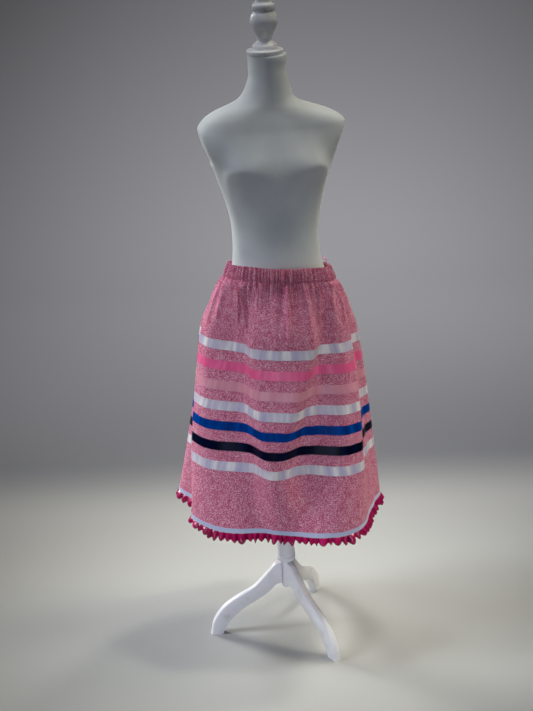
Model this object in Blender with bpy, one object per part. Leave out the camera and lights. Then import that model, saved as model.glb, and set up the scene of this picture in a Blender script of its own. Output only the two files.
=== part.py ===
"""A ribbon skirt on a dress form.

The skirt is gathered into an elastic waistband, carries seven satin ribbons and ends in a
gathered satin ruffle. It hangs on a limbless dress form that stands on a pole with three legs.

Units are metres and +Z is up. The form faces -Y, and the origin is on the floor below the
middle of the skirt. Angles round the skirt run from its front, positive towards +X.
"""
import math
from collections import namedtuple

import bpy
import numpy as np

# ---------------------------------------------------------------- driving dimensions

POLE_X = 0.0101
POLE_Y = -0.0089
SEAM_GAP = 0.0003

BAND_TOP_LEVEL = 1.1435
SEAM_LEVEL = 1.107
RIBBONS_TOP_LEVEL = 0.9375
HEM_LEVEL = 0.432
SIDE_RISE = 0.070           # how much higher the skirt hangs for each metre towards -X
WAIST_DIP = 0.017           # how much lower the waist is at its sides and back than in front

CLOTH_WALL = 0.002
BAND_WALL = 0.0025
RIBBON_WALL = 0.0010
RIBBON_CLEARANCE = 0.0004
SHARPEST_BEND = 0.55        # cosine of half the sharpest turn that a wall keeps its width round
SKIRT_COLUMNS = 80
BAND_COLUMNS = 120
GATHER_DEPTH = 0.0020       # half the height of a gather
GATHER_FADE = 0.075         # how far below the seam the gathers run out
BAND_BULGE = 0.0015

RIBBON_WIDTH = 0.025
RIBBON_PITCH = 0.0533
TAPE_WIDTH = 0.012

RUFFLE_DROP = 0.030
RUFFLE_WAVES = 80
RUFFLE_COLUMNS_PER_WAVE = 3
RUFFLE_FLARE = 0.009        # how far the ruffle's lower edge stands out from the hem
RUFFLE_WAVE_TOP = 0.0012    # half the height of a wave at the hem and at the lower edge
RUFFLE_WAVE_BOTTOM = 0.0062
RUFFLE_WAVE_SIZES = (0.60, 1.15)
RUFFLE_DIP = 0.003          # how much the lower edge strays up and down
RUFFLE_WALL = 0.0010
RUFFLE_SEED = 5

TORSO_YAW = math.radians(10)
TORSO_COLUMNS = 24
TURNED_SIDES = 16

POLE_TOP = 0.8445
HUB_RADIUS = 0.0150
LEG_COUNT = 3
LEG_FIRST_ANGLE = math.radians(186)
LEG_THICKNESS = 0.022
LEG_STATIONS = 12

# Level cuts through the skirt, from the top of the waistband down: half the width, the depth
# in front of the pole and behind it to the bottoms of the folds, and the middle's shift in X
Section = namedtuple("Section", "level half_width front back shift")
SKIRT_SECTIONS = (
    Section(1.1435, 0.1345, 0.103, 0.100, 0.0120),
    Section(1.1070, 0.1520, 0.107, 0.106, 0.0115),
    Section(1.0850, 0.1625, 0.109, 0.111, 0.0105),
    Section(1.0500, 0.1715, 0.113, 0.118, 0.0115),
    Section(1.0000, 0.1790, 0.117, 0.127, 0.0120),
    Section(0.9380, 0.1890, 0.121, 0.136, 0.0100),
    Section(0.8200, 0.2095, 0.140, 0.152, 0.0070),
    Section(0.7000, 0.2255, 0.162, 0.171, 0.0035),
    Section(0.5900, 0.2385, 0.181, 0.189, 0.0020),
    Section(0.4320, 0.2570, 0.213, 0.214, 0.0000),
)

# The long folds, each as level cuts from the top ribbon down to the hem: the crest's angle and
# the widths of the slopes to its left and right (degrees), the share of a slope's width that
# stays at the crest's height, and how far the crest stands out
FoldCut = namedtuple("FoldCut", "level angle left right flat height")
FOLDS = {
    "front": (
        FoldCut(0.9375, 1, 45, 46, 0.64, 0.032),
        FoldCut(0.7650, -4, 34, 33, 0.30, 0.043),
        FoldCut(0.6050, -7, 20, 22, 0.00, 0.038),
        FoldCut(0.4320, 3, 26, 26, 0.00, 0.008),
    ),
    "front to +X": (
        FoldCut(0.9375, 71, 21, 13, 0.20, 0.016),
        FoldCut(0.7650, 60, 26, 17, 0.20, 0.032),
        FoldCut(0.6050, 51, 30, 26, 0.10, 0.044),
        FoldCut(0.4320, 36, 36, 42, 0.05, 0.045),
    ),
    "side at +X": (
        FoldCut(0.9375, 101, 18, 22, 0.25, 0.024),
        FoldCut(0.4320, 104, 20, 24, 0.25, 0.026),
    ),
    "back to +X": (
        FoldCut(0.9375, 139, 29, 19, 0.25, 0.021),
        FoldCut(0.4320, 134, 30, 20, 0.25, 0.036),
    ),
    "back": (
        FoldCut(0.9375, 177, 24, 32, 0.30, 0.026),
        FoldCut(0.4320, 186, 20, 28, 0.30, 0.031),
    ),
    "back to -X": (
        FoldCut(0.9375, -141, 17, 27, 0.25, 0.018),
        FoldCut(0.4320, -136, 20, 32, 0.25, 0.037),
    ),
    "side at -X": (
        FoldCut(0.9375, -102, 22, 18, 0.25, 0.030),
        FoldCut(0.7650, -102, 23, 19, 0.25, 0.022),
        FoldCut(0.6050, -102, 23, 20, 0.25, 0.031),
        FoldCut(0.4320, -102, 24, 20, 0.25, 0.046),
    ),
    "front to -X": (
        FoldCut(0.9375, -80, 12, 28, 0.20, 0.029),
        FoldCut(0.7650, -72, 15, 32, 0.20, 0.033),
        FoldCut(0.6050, -64, 18, 38, 0.20, 0.040),
        FoldCut(0.4320, -55, 21, 44, 0.25, 0.045),
    ),
}

# Narrow folds that start at the waist and run out above the second ribbon
UPPER_FOLD_COUNT = 19
UPPER_FOLD_SPREAD = math.radians(8.5)
UPPER_FOLD_HEIGHTS = (0.0030, 0.0060)
UPPER_FOLD_LENGTHS = (0.10, 0.24)
UPPER_FOLD_START = 0.020    # how far below the seam they reach their full height
UPPER_FOLD_STRAY = 0.3      # how far each one strays from even spacing
UPPER_FOLD_SEED = 11

# Level cuts through the torso, in its own turned frame
TORSO_SECTIONS = (
    Section(1.6732, 0.0485, 0.0600, 0.0600, 0.0042),
    Section(1.6610, 0.0486, 0.0606, 0.0604, 0.0042),
    Section(1.6560, 0.0482, 0.0598, 0.0596, 0.0040),
    Section(1.6400, 0.0473, 0.0592, 0.0588, 0.0030),
    Section(1.6200, 0.0484, 0.0594, 0.0590, 0.0042),
    Section(1.6030, 0.0535, 0.0602, 0.0600, 0.0036),
    Section(1.5900, 0.0580, 0.0610, 0.0615, 0.0026),
    Section(1.5780, 0.0634, 0.0622, 0.0635, 0.0010),
    Section(1.5700, 0.0680, 0.0632, 0.0650, -0.0006),
    Section(1.5610, 0.0769, 0.0642, 0.0665, -0.0022),
    Section(1.5530, 0.0905, 0.0655, 0.0680, -0.0040),
    Section(1.5460, 0.1075, 0.0665, 0.0695, -0.0042),
    Section(1.5380, 0.1290, 0.0677, 0.0712, -0.0028),
    Section(1.5300, 0.1480, 0.0690, 0.0728, 0.0008),
    Section(1.5210, 0.1655, 0.0705, 0.0745, 0.0042),
    Section(1.5120, 0.1778, 0.0720, 0.0760, 0.0072),
    Section(1.5030, 0.1862, 0.0735, 0.0775, 0.0085),
    Section(1.4900, 0.1920, 0.0760, 0.0800, 0.0062),
    Section(1.4750, 0.1912, 0.0795, 0.0825, 0.0045),
    Section(1.4600, 0.1870, 0.0830, 0.0850, 0.0039),
    Section(1.4425, 0.1799, 0.0865, 0.0870, 0.0036),
    Section(1.4250, 0.1702, 0.0895, 0.0885, 0.0046),
    Section(1.4050, 0.1592, 0.0915, 0.0897, 0.0060),
    Section(1.3850, 0.1512, 0.0925, 0.0900, 0.0066),
    Section(1.3600, 0.1430, 0.0925, 0.0890, 0.0060),
    Section(1.3300, 0.1338, 0.0910, 0.0865, 0.0062),
    Section(1.2980, 0.1256, 0.0890, 0.0840, 0.0070),
    Section(1.2650, 0.1182, 0.0865, 0.0815, 0.0074),
    Section(1.2000, 0.1135, 0.0815, 0.0780, 0.0070),
    Section(1.1400, 0.1190, 0.0860, 0.0810, 0.0080),
    Section(1.0800, 0.1345, 0.0910, 0.0890, 0.0080),
    Section(1.0000, 0.1490, 0.0970, 0.0980, 0.0060),
    Section(0.9200, 0.1570, 0.0990, 0.1030, 0.0050),
    Section(0.8600, 0.1530, 0.0940, 0.0980, 0.0040),
    Section(0.8450, 0.1430, 0.0860, 0.0900, 0.0040),
)
TORSO_SQUARENESS = 0.5      # how much squarer than an ellipse a level cut gets as it widens
TORSO_SQUARENESS_LIMIT = 0.6
BUST_LEVEL = 1.402          # the bust's crest
BUST_ANGLE = math.radians(38)
BUST_HEIGHT = 0.022
BUST_REACH_UP = 0.100
BUST_REACH_DOWN = 0.052
BUST_REACH_ROUND = math.radians(34)
BUST_BRIDGE = 0.35          # share of its height lost where the jersey bridges the middle
# The arms end in flat ovals that slope in towards the waist
ARM_END_LEVEL = 1.490
ARM_END_OUT = 0.1852
ARM_END_SLOPE = 0.364
ARM_END_LOW = 1.412
ARM_END_FADE = 0.040

# Turned profiles, from the top down
Turn = namedtuple("Turn", "radius height")
FINIAL = (
    Turn(0.0000, 1.8260), Turn(0.0120, 1.8235), Turn(0.0190, 1.8150), Turn(0.0200, 1.8030),
    Turn(0.0216, 1.7975), Turn(0.0275, 1.7930), Turn(0.0293, 1.7870), Turn(0.0285, 1.7800),
    Turn(0.0258, 1.7768), Turn(0.0312, 1.7675), Turn(0.0345, 1.7545), Turn(0.0325, 1.7420),
    Turn(0.0272, 1.7300), Turn(0.0213, 1.7190), Turn(0.0185, 1.7095), Turn(0.0198, 1.7040),
    Turn(0.0255, 1.6995), Turn(0.0312, 1.6945), Turn(0.0312, 1.6853), Turn(0.0000, 1.6853),
)
NECK_CAP = (
    Turn(0.0000, 1.6850), Turn(0.0440, 1.6850), Turn(0.0460, 1.6832), Turn(0.0460, 1.6775),
    Turn(0.0450, 1.6765), Turn(0.0450, 1.6735), Turn(0.0000, 1.6735),
)
NECK_DEPTH = 1.30           # how much deeper than wide the neck cap is
POLE = (
    Turn(0.0000, POLE_TOP), Turn(0.0225, POLE_TOP), Turn(0.0225, 0.4200), Turn(0.0240, 0.2800),
    Turn(0.0262, 0.2510), Turn(0.0255, 0.2460), Turn(0.0272, 0.2425), Turn(0.0275, 0.2375),
    Turn(0.0262, 0.2330), Turn(0.0200, 0.2275), Turn(0.0000, 0.2275),
)
HUB = (
    Turn(0.0000, 0.2272), Turn(HUB_RADIUS, 0.2272), Turn(HUB_RADIUS, 0.1430),
    Turn(0.0130, 0.1400), Turn(0.0000, 0.1400),
)

# The side of a leg: pairs of points on its upper and lower edges, by distance from the pole's
# axis and height
LegPair = namedtuple("LegPair", "upper_out upper_up lower_out lower_up")
LEG_PAIRS = (
    LegPair(0.0155, 0.2235, 0.0155, 0.1540),
    LegPair(0.0360, 0.2165, 0.0340, 0.1500),
    LegPair(0.0605, 0.1880, 0.0565, 0.1270),
    LegPair(0.1005, 0.1480, 0.0900, 0.1050),
    LegPair(0.1490, 0.1200, 0.1300, 0.0820),
    LegPair(0.1905, 0.0900, 0.1610, 0.0560),
    LegPair(0.2205, 0.0470, 0.1830, 0.0290),
    LegPair(0.2320, 0.0000, 0.1965, 0.0000),
)

LOOP_ANGLE = math.radians(113)
LOOP_HALF_SPAN = 0.0065
LOOP_HEIGHT = 0.013
LOOP_STEPS = 8
LOOP_WIDTH = 0.0040
LOOP_WALL = 0.0012

Paint = namedtuple("Paint", "name color roughness")
COTTON = Paint("heathered_pink_cotton", "C0708A", 0.90)
JERSEY = Paint("white_jersey", "D9DEDC", 0.85)
WHITE_WOOD = Paint("white_painted_wood", "E6E6EA", 0.45)
TAPE_BLUE = Paint("pale_blue_ribbon", "C3CBE6", 0.45)
MAGENTA = Paint("magenta_satin", "B01558", 0.35)
LOOP_PINK = Paint("pink_satin", "F08FC0", 0.40)

Ribbon = namedtuple("Ribbon", "name color")
RIBBONS = (
    Ribbon("ribbon_white_top", "E4E2EC"),
    Ribbon("ribbon_hot_pink", "D2528F"),
    Ribbon("ribbon_blush_pink", "D58FA2"),
    Ribbon("ribbon_white_middle", "E4E2EC"),
    Ribbon("ribbon_royal_blue", "0A3E96"),
    Ribbon("ribbon_navy", "0A1630"),
    Ribbon("ribbon_white_low", "E4E2EC"),
)
RIBBON_ROUGHNESS = 0.35

# ---------------------------------------------------------------- colours and objects


def linear_channel(value):
    """Turn one sRGB channel from 0 to 1 into linear light."""
    if value <= 0.04045:
        return value / 12.92
    return ((value + 0.055) / 1.055) ** 2.4


def linear_color(hex_color):
    """Turn a colour such as 'C0708A' into a linear RGBA tuple."""
    channels = [int(hex_color[i:i + 2], 16) / 255 for i in (0, 2, 4)]
    return tuple(linear_channel(c) for c in channels) + (1.0,)


def make_material(name, paint):
    """Make the Principled material of one object."""
    material = bpy.data.materials.new(f"{name}_{paint.name}")
    material.use_nodes = True
    shader = material.node_tree.nodes["Principled BSDF"]
    shader.inputs["Base Color"].default_value = linear_color(paint.color)
    shader.inputs["Roughness"].default_value = paint.roughness
    shader.inputs["Metallic"].default_value = 0.0
    return material


def add_object(name, points, faces, paint):
    """Add a named, smooth-shaded mesh object with its own material."""
    mesh = bpy.data.meshes.new(name)
    mesh.from_pydata([tuple(map(float, p)) for p in points], [], faces)
    mesh.materials.append(make_material(name, paint))
    mesh.shade_smooth()
    mesh.set_sharp_from_angle(angle=math.radians(50))
    piece = bpy.data.objects.new(name, mesh)
    bpy.context.scene.collection.objects.link(piece)
    return piece


# ---------------------------------------------------------------- curves


def ease(value):
    """Ease from 0 to 1, flat at both ends."""
    value = np.clip(value, 0, 1)
    return value * value * (3 - 2 * value)


def mix(start, end, share):
    """Mix two values."""
    return start + (end - start) * share


def smooth_columns(places, values, place):
    """Read the columns of a table at one place, on smooth curves through its rows."""
    values = np.asarray(values, float)
    slopes = np.gradient(values, places, axis=0)
    row = int(np.clip(np.searchsorted(places, place) - 1, 0, len(places) - 2))
    step = places[row + 1] - places[row]
    t = float(np.clip((place - places[row]) / step, 0, 1))
    return (
        (2 * t**3 - 3 * t**2 + 1) * values[row]
        + (t**3 - 2 * t**2 + t) * step * slopes[row]
        + (3 * t**2 - 2 * t**3) * values[row + 1]
        + (t**3 - t**2) * step * slopes[row + 1]
    )


def section_at(table, level):
    """Return the section of a table at a level."""
    rows = table[::-1]
    levels = np.array([row.level for row in rows])
    return Section(level, *smooth_columns(levels, [row[1:] for row in rows], level))


def oval_radius(section, angle, squareness=0.0):
    """Return the distance from the middle to an oval section's edge at each angle."""
    power = 2 + squareness
    depth = np.where(np.cos(angle) > 0, section.front, section.back)
    across = np.abs(np.sin(angle) / section.half_width) ** power
    along = np.abs(np.cos(angle) / depth) ** power
    return (across + along) ** (-1 / power)


def turn_from(angle, centre):
    """Return how far each angle lies from a centre, from -pi to pi."""
    return (angle - centre + math.pi) % (2 * math.pi) - math.pi


# ---------------------------------------------------------------- the skirt's surface


def long_fold_height(fold, angle, level):
    """Return how far one long fold stands out at each angle of a level."""
    cuts = fold[::-1]
    levels = [cut.level for cut in cuts]
    cut = FoldCut(level, *smooth_columns(levels, [cut[1:] for cut in cuts], level))
    growth = ease((SEAM_LEVEL - level) / (SEAM_LEVEL - RIBBONS_TOP_LEVEL))
    offset = turn_from(angle, math.radians(cut.angle))
    reach = np.abs(offset) / np.radians(np.where(offset < 0, cut.left, cut.right))
    flat = max(cut.flat, 0.0)
    return cut.height * growth * (1 - ease((reach - flat) / (1 - flat)))


def upper_fold_height(angle, level):
    """Return how far the narrow folds below the waist stand out at each angle of a level."""
    rng = np.random.default_rng(UPPER_FOLD_SEED)
    height = np.zeros_like(angle)
    for i in range(UPPER_FOLD_COUNT):
        stray = rng.uniform(-UPPER_FOLD_STRAY, UPPER_FOLD_STRAY)
        centre = 2 * math.pi * (i + stray) / UPPER_FOLD_COUNT
        crest = rng.uniform(*UPPER_FOLD_HEIGHTS)
        length = rng.uniform(*UPPER_FOLD_LENGTHS)
        start = ease((SEAM_LEVEL - level) / UPPER_FOLD_START)
        end = 1 - ease((SEAM_LEVEL - level) / length)
        reach = np.abs(turn_from(angle, centre)) / UPPER_FOLD_SPREAD
        height += crest * start * end * (1 - ease(reach))
    return height


def skirt_points(angle, level, extra=0.0):
    """Return the points of the skirt's outer surface at one level.

    extra is how far each point is moved out from the folded surface.
    """
    section = section_at(SKIRT_SECTIONS, level)
    radius = oval_radius(section, angle) + upper_fold_height(angle, level) + extra
    for fold in FOLDS.values():
        radius = radius + long_fold_height(fold, angle, level)
    x = POLE_X + section.shift + radius * np.sin(angle)
    y = POLE_Y - radius * np.cos(angle)
    dip = WAIST_DIP * ease((np.abs(turn_from(angle, 0)) - 0.5) / 1.4)
    dip = dip * ease((level - RIBBONS_TOP_LEVEL) / (SEAM_LEVEL - RIBBONS_TOP_LEVEL))
    return np.stack([x, y, level - dip - SIDE_RISE * (x - POLE_X)], axis=-1)


def outward(points, closed=True):
    """Return the sideways steps that shift the edges of a level row out by one unit."""
    flat = points[:, :2]
    if closed:
        before = flat - np.roll(flat, 1, axis=0)
        after = np.roll(flat, -1, axis=0) - flat
    else:
        edges = np.diff(flat, axis=0)
        before = np.vstack([edges[:1], edges])
        after = np.vstack([edges, edges[-1:]])
    before = before / np.linalg.norm(before, axis=1, keepdims=True)
    after = after / np.linalg.norm(after, axis=1, keepdims=True)
    along = before + after
    along = along / np.linalg.norm(along, axis=1, keepdims=True)
    bend = np.clip(np.sum(along * after, axis=1), SHARPEST_BEND, 1)
    return np.stack([along[:, 1], -along[:, 0]], axis=-1) / bend[:, None]


def moved_out(points, distance, closed=True):
    """Move a level row of points sideways by one distance, or by one for each point."""
    moved = points.copy()
    moved[:, :2] += outward(points, closed) * np.reshape(distance, (-1, 1))
    return moved


def column_angles(count):
    """Return the angles of the columns round the skirt, from the back and round the front."""
    return -math.pi + 2 * math.pi * np.arange(count) / count


# ---------------------------------------------------------------- closed walls


def strip_faces(upper, lower, closed):
    """Return the triangles between two rows of point numbers, facing out of the skirt."""
    count = len(upper)
    faces = []
    for i in range(count if closed else count - 1):
        j = (i + 1) % count
        faces.append((upper[i], lower[i], lower[j]))
        faces.append((upper[i], lower[j], upper[j]))
    return faces


def end_faces(outer, inner, kept, column):
    """Return the faces that close one end of an open wall."""
    faces = []
    for k in range(len(kept) - 1):
        edge = [outer[row][column] for row in range(kept[k], kept[k + 1] + 1)]
        faces.append(tuple(edge) + (inner[k + 1][column], inner[k][column]))
    return faces


def add_wall(name, outer_rows, inner_rows, paint, kept=None, closed=True):
    """Add a closed wall between rows of outer and inner points, listed from the top down.

    kept says which outer row each inner row lies behind, and closed says that the rows run
    all the way round.
    """
    kept = list(range(len(outer_rows))) if kept is None else kept
    count = len(outer_rows[0])
    rows = list(outer_rows) + list(inner_rows)
    numbers = np.arange(len(rows) * count).reshape(len(rows), count).tolist()
    outer = numbers[:len(outer_rows)]
    inner = numbers[len(outer_rows):]
    faces = []
    for upper, lower in zip(outer, outer[1:]):
        faces += strip_faces(upper, lower, closed)
    for upper, lower in zip(inner, inner[1:]):
        faces += [face[::-1] for face in strip_faces(upper, lower, closed)]
    faces += strip_faces(inner[0], outer[0], closed)
    faces += strip_faces(outer[-1], inner[-1], closed)
    if not closed:
        faces += [face[::-1] for face in end_faces(outer, inner, kept, 0)]
        faces += end_faces(outer, inner, kept, count - 1)
    return add_object(name, np.vstack(rows), faces, paint)


# ---------------------------------------------------------------- skirt pieces


def ribbon_levels(index):
    """Return the levels of the upper and lower edges of a ribbon."""
    top = RIBBONS_TOP_LEVEL - index * RIBBON_PITCH
    return top, top - RIBBON_WIDTH


def panel_levels():
    """Return the levels of the panels' rows, and which of them the inside also has."""
    levels = [SEAM_LEVEL - SEAM_GAP, 1.085, 1.050, 1.000]
    kept = [0, 1, 2, 3]
    for index in range(len(RIBBONS)):
        top, bottom = ribbon_levels(index)
        kept.append(len(levels))
        levels += [top, bottom]
    kept.append(len(levels))
    levels += [HEM_LEVEL + TAPE_WIDTH, HEM_LEVEL]
    kept.append(len(levels) - 1)
    return levels, kept


def gather_height(angle, level):
    """Return the gathers' height at each column of the panels, where they are sewn in."""
    fade = 1 - ease((SEAM_LEVEL - level) / GATHER_FADE)
    return GATHER_DEPTH * fade * np.cos(SKIRT_COLUMNS / 2 * angle)


def skirt_row(level):
    """Return one row of the panels' outer points, all the way round."""
    angle = column_angles(SKIRT_COLUMNS)
    return skirt_points(angle, level, gather_height(angle, level))


def panel_columns(front):
    """Return the columns of the front or the back panel, from side seam to side seam."""
    quarter = SKIRT_COLUMNS // 4
    start = quarter if front else 3 * quarter
    return (start + np.arange(2 * quarter + 1)) % SKIRT_COLUMNS


def parted(row):
    """Draw the two ends of a row in by half the gap at a side seam."""
    row = row.copy()
    for end, neighbour in ((0, 1), (-1, -2)):
        step = row[neighbour] - row[end]
        row[end] += step * (SEAM_GAP / 2 / np.linalg.norm(step[:2]))
    return row


def add_panel(name, front):
    """Add the front or the back panel of the skirt."""
    levels, kept = panel_levels()
    columns = panel_columns(front)
    outer = [skirt_row(level) for level in levels]
    inner = [moved_out(outer[row], -CLOTH_WALL) for row in kept]
    add_wall(
        name,
        [parted(row[columns]) for row in outer],
        [parted(row[columns]) for row in inner],
        COTTON,
        kept,
        closed=False,
    )


def add_band_on_skirt(name, top, bottom, paint):
    """Add a ribbon or tape that lies round the skirt between two levels."""
    rows = [skirt_row(top), skirt_row(bottom)]
    inner = [moved_out(row, RIBBON_CLEARANCE) for row in rows]
    outer = [moved_out(row, RIBBON_CLEARANCE + RIBBON_WALL) for row in rows]
    add_wall(name, outer, inner, paint)


def add_ribbons():
    """Add the seven ribbons."""
    for index, ribbon in enumerate(RIBBONS):
        top, bottom = ribbon_levels(index)
        paint = Paint("satin", ribbon.color, RIBBON_ROUGHNESS)
        add_band_on_skirt(ribbon.name, top, bottom, paint)


def add_waistband():
    """Add the gathered waistband, which bulges a little over its elastic."""
    angle = column_angles(BAND_COLUMNS)
    gathers = np.cos(BAND_COLUMNS / 2 * angle)
    middle = (BAND_TOP_LEVEL + SEAM_LEVEL) / 2
    top = skirt_points(angle, BAND_TOP_LEVEL, GATHER_DEPTH * gathers)
    belly = skirt_points(angle, middle, BAND_BULGE + GATHER_DEPTH * gathers)
    seam = skirt_points(angle, SEAM_LEVEL, GATHER_DEPTH * gathers)
    inner = [moved_out(row, -BAND_WALL) for row in (top, seam)]
    add_wall("waistband", [top, belly, seam], inner, COTTON)


def add_ruffle():
    """Add the gathered ruffle below the hem."""
    rng = np.random.default_rng(RUFFLE_SEED)
    angle = column_angles(RUFFLE_WAVES * RUFFLE_COLUMNS_PER_WAVE)
    size = np.repeat(rng.uniform(*RUFFLE_WAVE_SIZES, RUFFLE_WAVES), RUFFLE_COLUMNS_PER_WAVE)
    dip = np.repeat(rng.uniform(-RUFFLE_DIP, RUFFLE_DIP, RUFFLE_WAVES), RUFFLE_COLUMNS_PER_WAVE)
    wave = np.cos(RUFFLE_WAVES * angle) * size
    line = skirt_points(angle, HEM_LEVEL)
    top = moved_out(line, wave * RUFFLE_WAVE_TOP)
    bottom = moved_out(line, RUFFLE_FLARE + wave * RUFFLE_WAVE_BOTTOM)
    top[:, 2] = line[:, 2] - SEAM_GAP
    bottom[:, 2] = line[:, 2] - SEAM_GAP - RUFFLE_DROP - dip
    rows = [top, bottom]
    add_wall("hem_ruffle", rows, [moved_out(row, -RUFFLE_WALL) for row in rows], MAGENTA)


def add_hanger_loop():
    """Add the small satin loop that stands on the back of the waistband."""
    angle = LOOP_ANGLE + np.radians([-1, 0, 1])
    edge = moved_out(skirt_points(angle, BAND_TOP_LEVEL), -BAND_WALL / 2, closed=False)
    along = edge[2] - edge[0]
    along[2] = 0
    along /= np.linalg.norm(along)
    out = np.array([along[1], -along[0], 0])
    base = edge[1] + np.array([0, 0, SEAM_GAP + LOOP_HALF_SPAN * SIDE_RISE])
    points = []
    for i in range(LOOP_STEPS + 1):
        turn = math.pi * i / LOOP_STEPS
        for wall in (0, LOOP_WALL):
            reach = LOOP_HALF_SPAN - wall
            rise = (LOOP_HEIGHT - wall) * math.sin(turn)
            centre = base - along * (reach * math.cos(turn)) + np.array([0, 0, rise])
            points += [centre - out * LOOP_WIDTH / 2, centre + out * LOOP_WIDTH / 2]
    faces = [(2, 3, 1, 0)]
    for i in range(LOOP_STEPS):
        a = 4 * i
        b = a + 4
        faces += [(a + 1, b + 1, b, a), (a + 3, b + 3, b + 1, a + 1)]
        faces += [(a + 2, b + 2, b + 3, a + 3), (a, b, b + 2, a + 2)]
    last = 4 * LOOP_STEPS
    faces.append((last + 1, last + 3, last + 2, last))
    add_object("hanger_loop", points, faces, LOOP_PINK)


# ---------------------------------------------------------------- the dress form


def bust_height(angle, level):
    """Return how far the bust stands out at each angle of a level."""
    reach = BUST_REACH_UP if level > BUST_LEVEL else BUST_REACH_DOWN
    up = abs(level - BUST_LEVEL) / reach
    turn = np.abs(angle) - BUST_ANGLE
    outer = np.clip(turn / BUST_REACH_ROUND, 0, None)
    bridge = BUST_BRIDGE * ease(-turn / BUST_ANGLE)
    return BUST_HEIGHT * (1 - bridge) * (1 - ease(np.hypot(up, outer)))


def torso_points(angle, level):
    """Return the torso's points at one level, cut off flat at the arms."""
    section = section_at(TORSO_SECTIONS, level)
    squareness = TORSO_SQUARENESS * (section.half_width / section.front - 1)
    squareness = float(np.clip(squareness, 0, TORSO_SQUARENESS_LIMIT))
    radius = oval_radius(section, angle, squareness) + bust_height(angle, level)
    arm_end = ARM_END_OUT - ARM_END_SLOPE * (ARM_END_LEVEL - max(level, ARM_END_LOW))
    arm_end += ARM_END_FADE * ease((ARM_END_LOW - level) / ARM_END_FADE)
    across = np.clip(radius * np.sin(angle), -arm_end, arm_end)
    forward = radius * np.cos(angle)
    x = POLE_X + section.shift + across * math.cos(TORSO_YAW) + forward * math.sin(TORSO_YAW)
    y = POLE_Y + across * math.sin(TORSO_YAW) - forward * math.cos(TORSO_YAW)
    return np.stack([x, y, np.full_like(x, level)], axis=-1)


def add_torso():
    """Add the torso as one closed, smooth solid."""
    angle = column_angles(TORSO_COLUMNS)
    rows = [torso_points(angle, section.level) for section in TORSO_SECTIONS]
    count = TORSO_COLUMNS
    numbers = np.arange(len(rows) * count).reshape(len(rows), count).tolist()
    faces = []
    for upper, lower in zip(numbers, numbers[1:]):
        faces += strip_faces(upper, lower, True)
    faces.append(tuple(numbers[0]))
    faces.append(tuple(numbers[-1][::-1]))
    add_object("form_torso", np.vstack(rows), faces, JERSEY)


def add_turning(name, profile, paint, depth=1.0):
    """Add a piece turned on the pole's axis from a profile listed from the top down."""
    sides = TURNED_SIDES
    points = []
    rings = []
    for turn in profile:
        if turn.radius == 0:
            rings.append([len(points)] * sides)
            points.append((POLE_X, POLE_Y, turn.height))
            continue
        rings.append(list(range(len(points), len(points) + sides)))
        for i in range(sides):
            angle = 2 * math.pi * i / sides
            x = POLE_X + turn.radius * math.cos(angle)
            y = POLE_Y + depth * turn.radius * math.sin(angle)
            points.append((x, y, turn.height))
    faces = []
    for upper, lower in zip(rings, rings[1:]):
        for i in range(sides):
            j = (i + 1) % sides
            corners = (upper[i], lower[i], lower[j], upper[j])
            faces.append(tuple(dict.fromkeys(corners)))
    return add_object(name, points, faces, paint)


def add_leg(index):
    """Add one curved leg, a board cut to an S and flat where it stands."""
    places = np.arange(len(LEG_PAIRS), dtype=float)
    angle = LEG_FIRST_ANGLE + 2 * math.pi * index / LEG_COUNT
    out = np.array([math.cos(angle), math.sin(angle)])
    side = np.array([-math.sin(angle), math.cos(angle)]) * LEG_THICKNESS / 2
    pole = np.array([POLE_X, POLE_Y])
    points = []
    for i in range(LEG_STATIONS + 1):
        place = i * (len(LEG_PAIRS) - 1) / LEG_STATIONS
        pair = LegPair(*smooth_columns(places, LEG_PAIRS, place))
        upper = pole + out * pair.upper_out
        lower = pole + out * pair.lower_out
        points += [(*(upper + side), pair.upper_up), (*(lower + side), pair.lower_up)]
        points += [(*(lower - side), pair.lower_up), (*(upper - side), pair.upper_up)]
    faces = [(0, 1, 2, 3)]
    for i in range(LEG_STATIONS):
        for k in range(4):
            a = 4 * i + k
            b = 4 * i + (k + 1) % 4
            faces.append((a, a + 4, b + 4, b))
    last = 4 * LEG_STATIONS
    faces.append((last + 3, last + 2, last + 1, last))
    add_object(f"leg_{index + 1}", points, faces, WHITE_WOOD)


def main():
    """Build the skirt and the form that it hangs on."""
    for old in list(bpy.data.objects):
        bpy.data.objects.remove(old, do_unlink=True)
    add_panel("skirt_front", True)
    add_panel("skirt_back", False)
    add_waistband()
    add_ribbons()
    add_band_on_skirt("hem_tape", HEM_LEVEL + TAPE_WIDTH, HEM_LEVEL, TAPE_BLUE)
    add_ruffle()
    add_hanger_loop()
    add_torso()
    add_turning("finial", FINIAL, WHITE_WOOD)
    add_turning("neck_cap", NECK_CAP, WHITE_WOOD, NECK_DEPTH)
    add_turning("pole", POLE, WHITE_WOOD)
    add_turning("hub", HUB, WHITE_WOOD)
    for index in range(LEG_COUNT):
        add_leg(index)


main()
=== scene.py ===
"""Looks of a ribbon skirt on a dress form.

The skirt is speckled pink cotton, gathered into an elastic waistband, with seven satin ribbons
sewn round it, a pale tape at the hem and a gathered satin ruffle below. It hangs on a jersey
covered dress form with a turned finial, a pole and three curved legs, all painted white.

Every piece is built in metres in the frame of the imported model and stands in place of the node
that it dresses. Levels are heights on the pole's axis, and angles run round the skirt from its
front, positive towards +X.
"""
import logging
import math
from collections.abc import Sequence
from dataclasses import dataclass, field
from enum import Enum
from typing import Any, NamedTuple

import bpy
import numpy as np
from mathutils import Matrix, Vector


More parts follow.
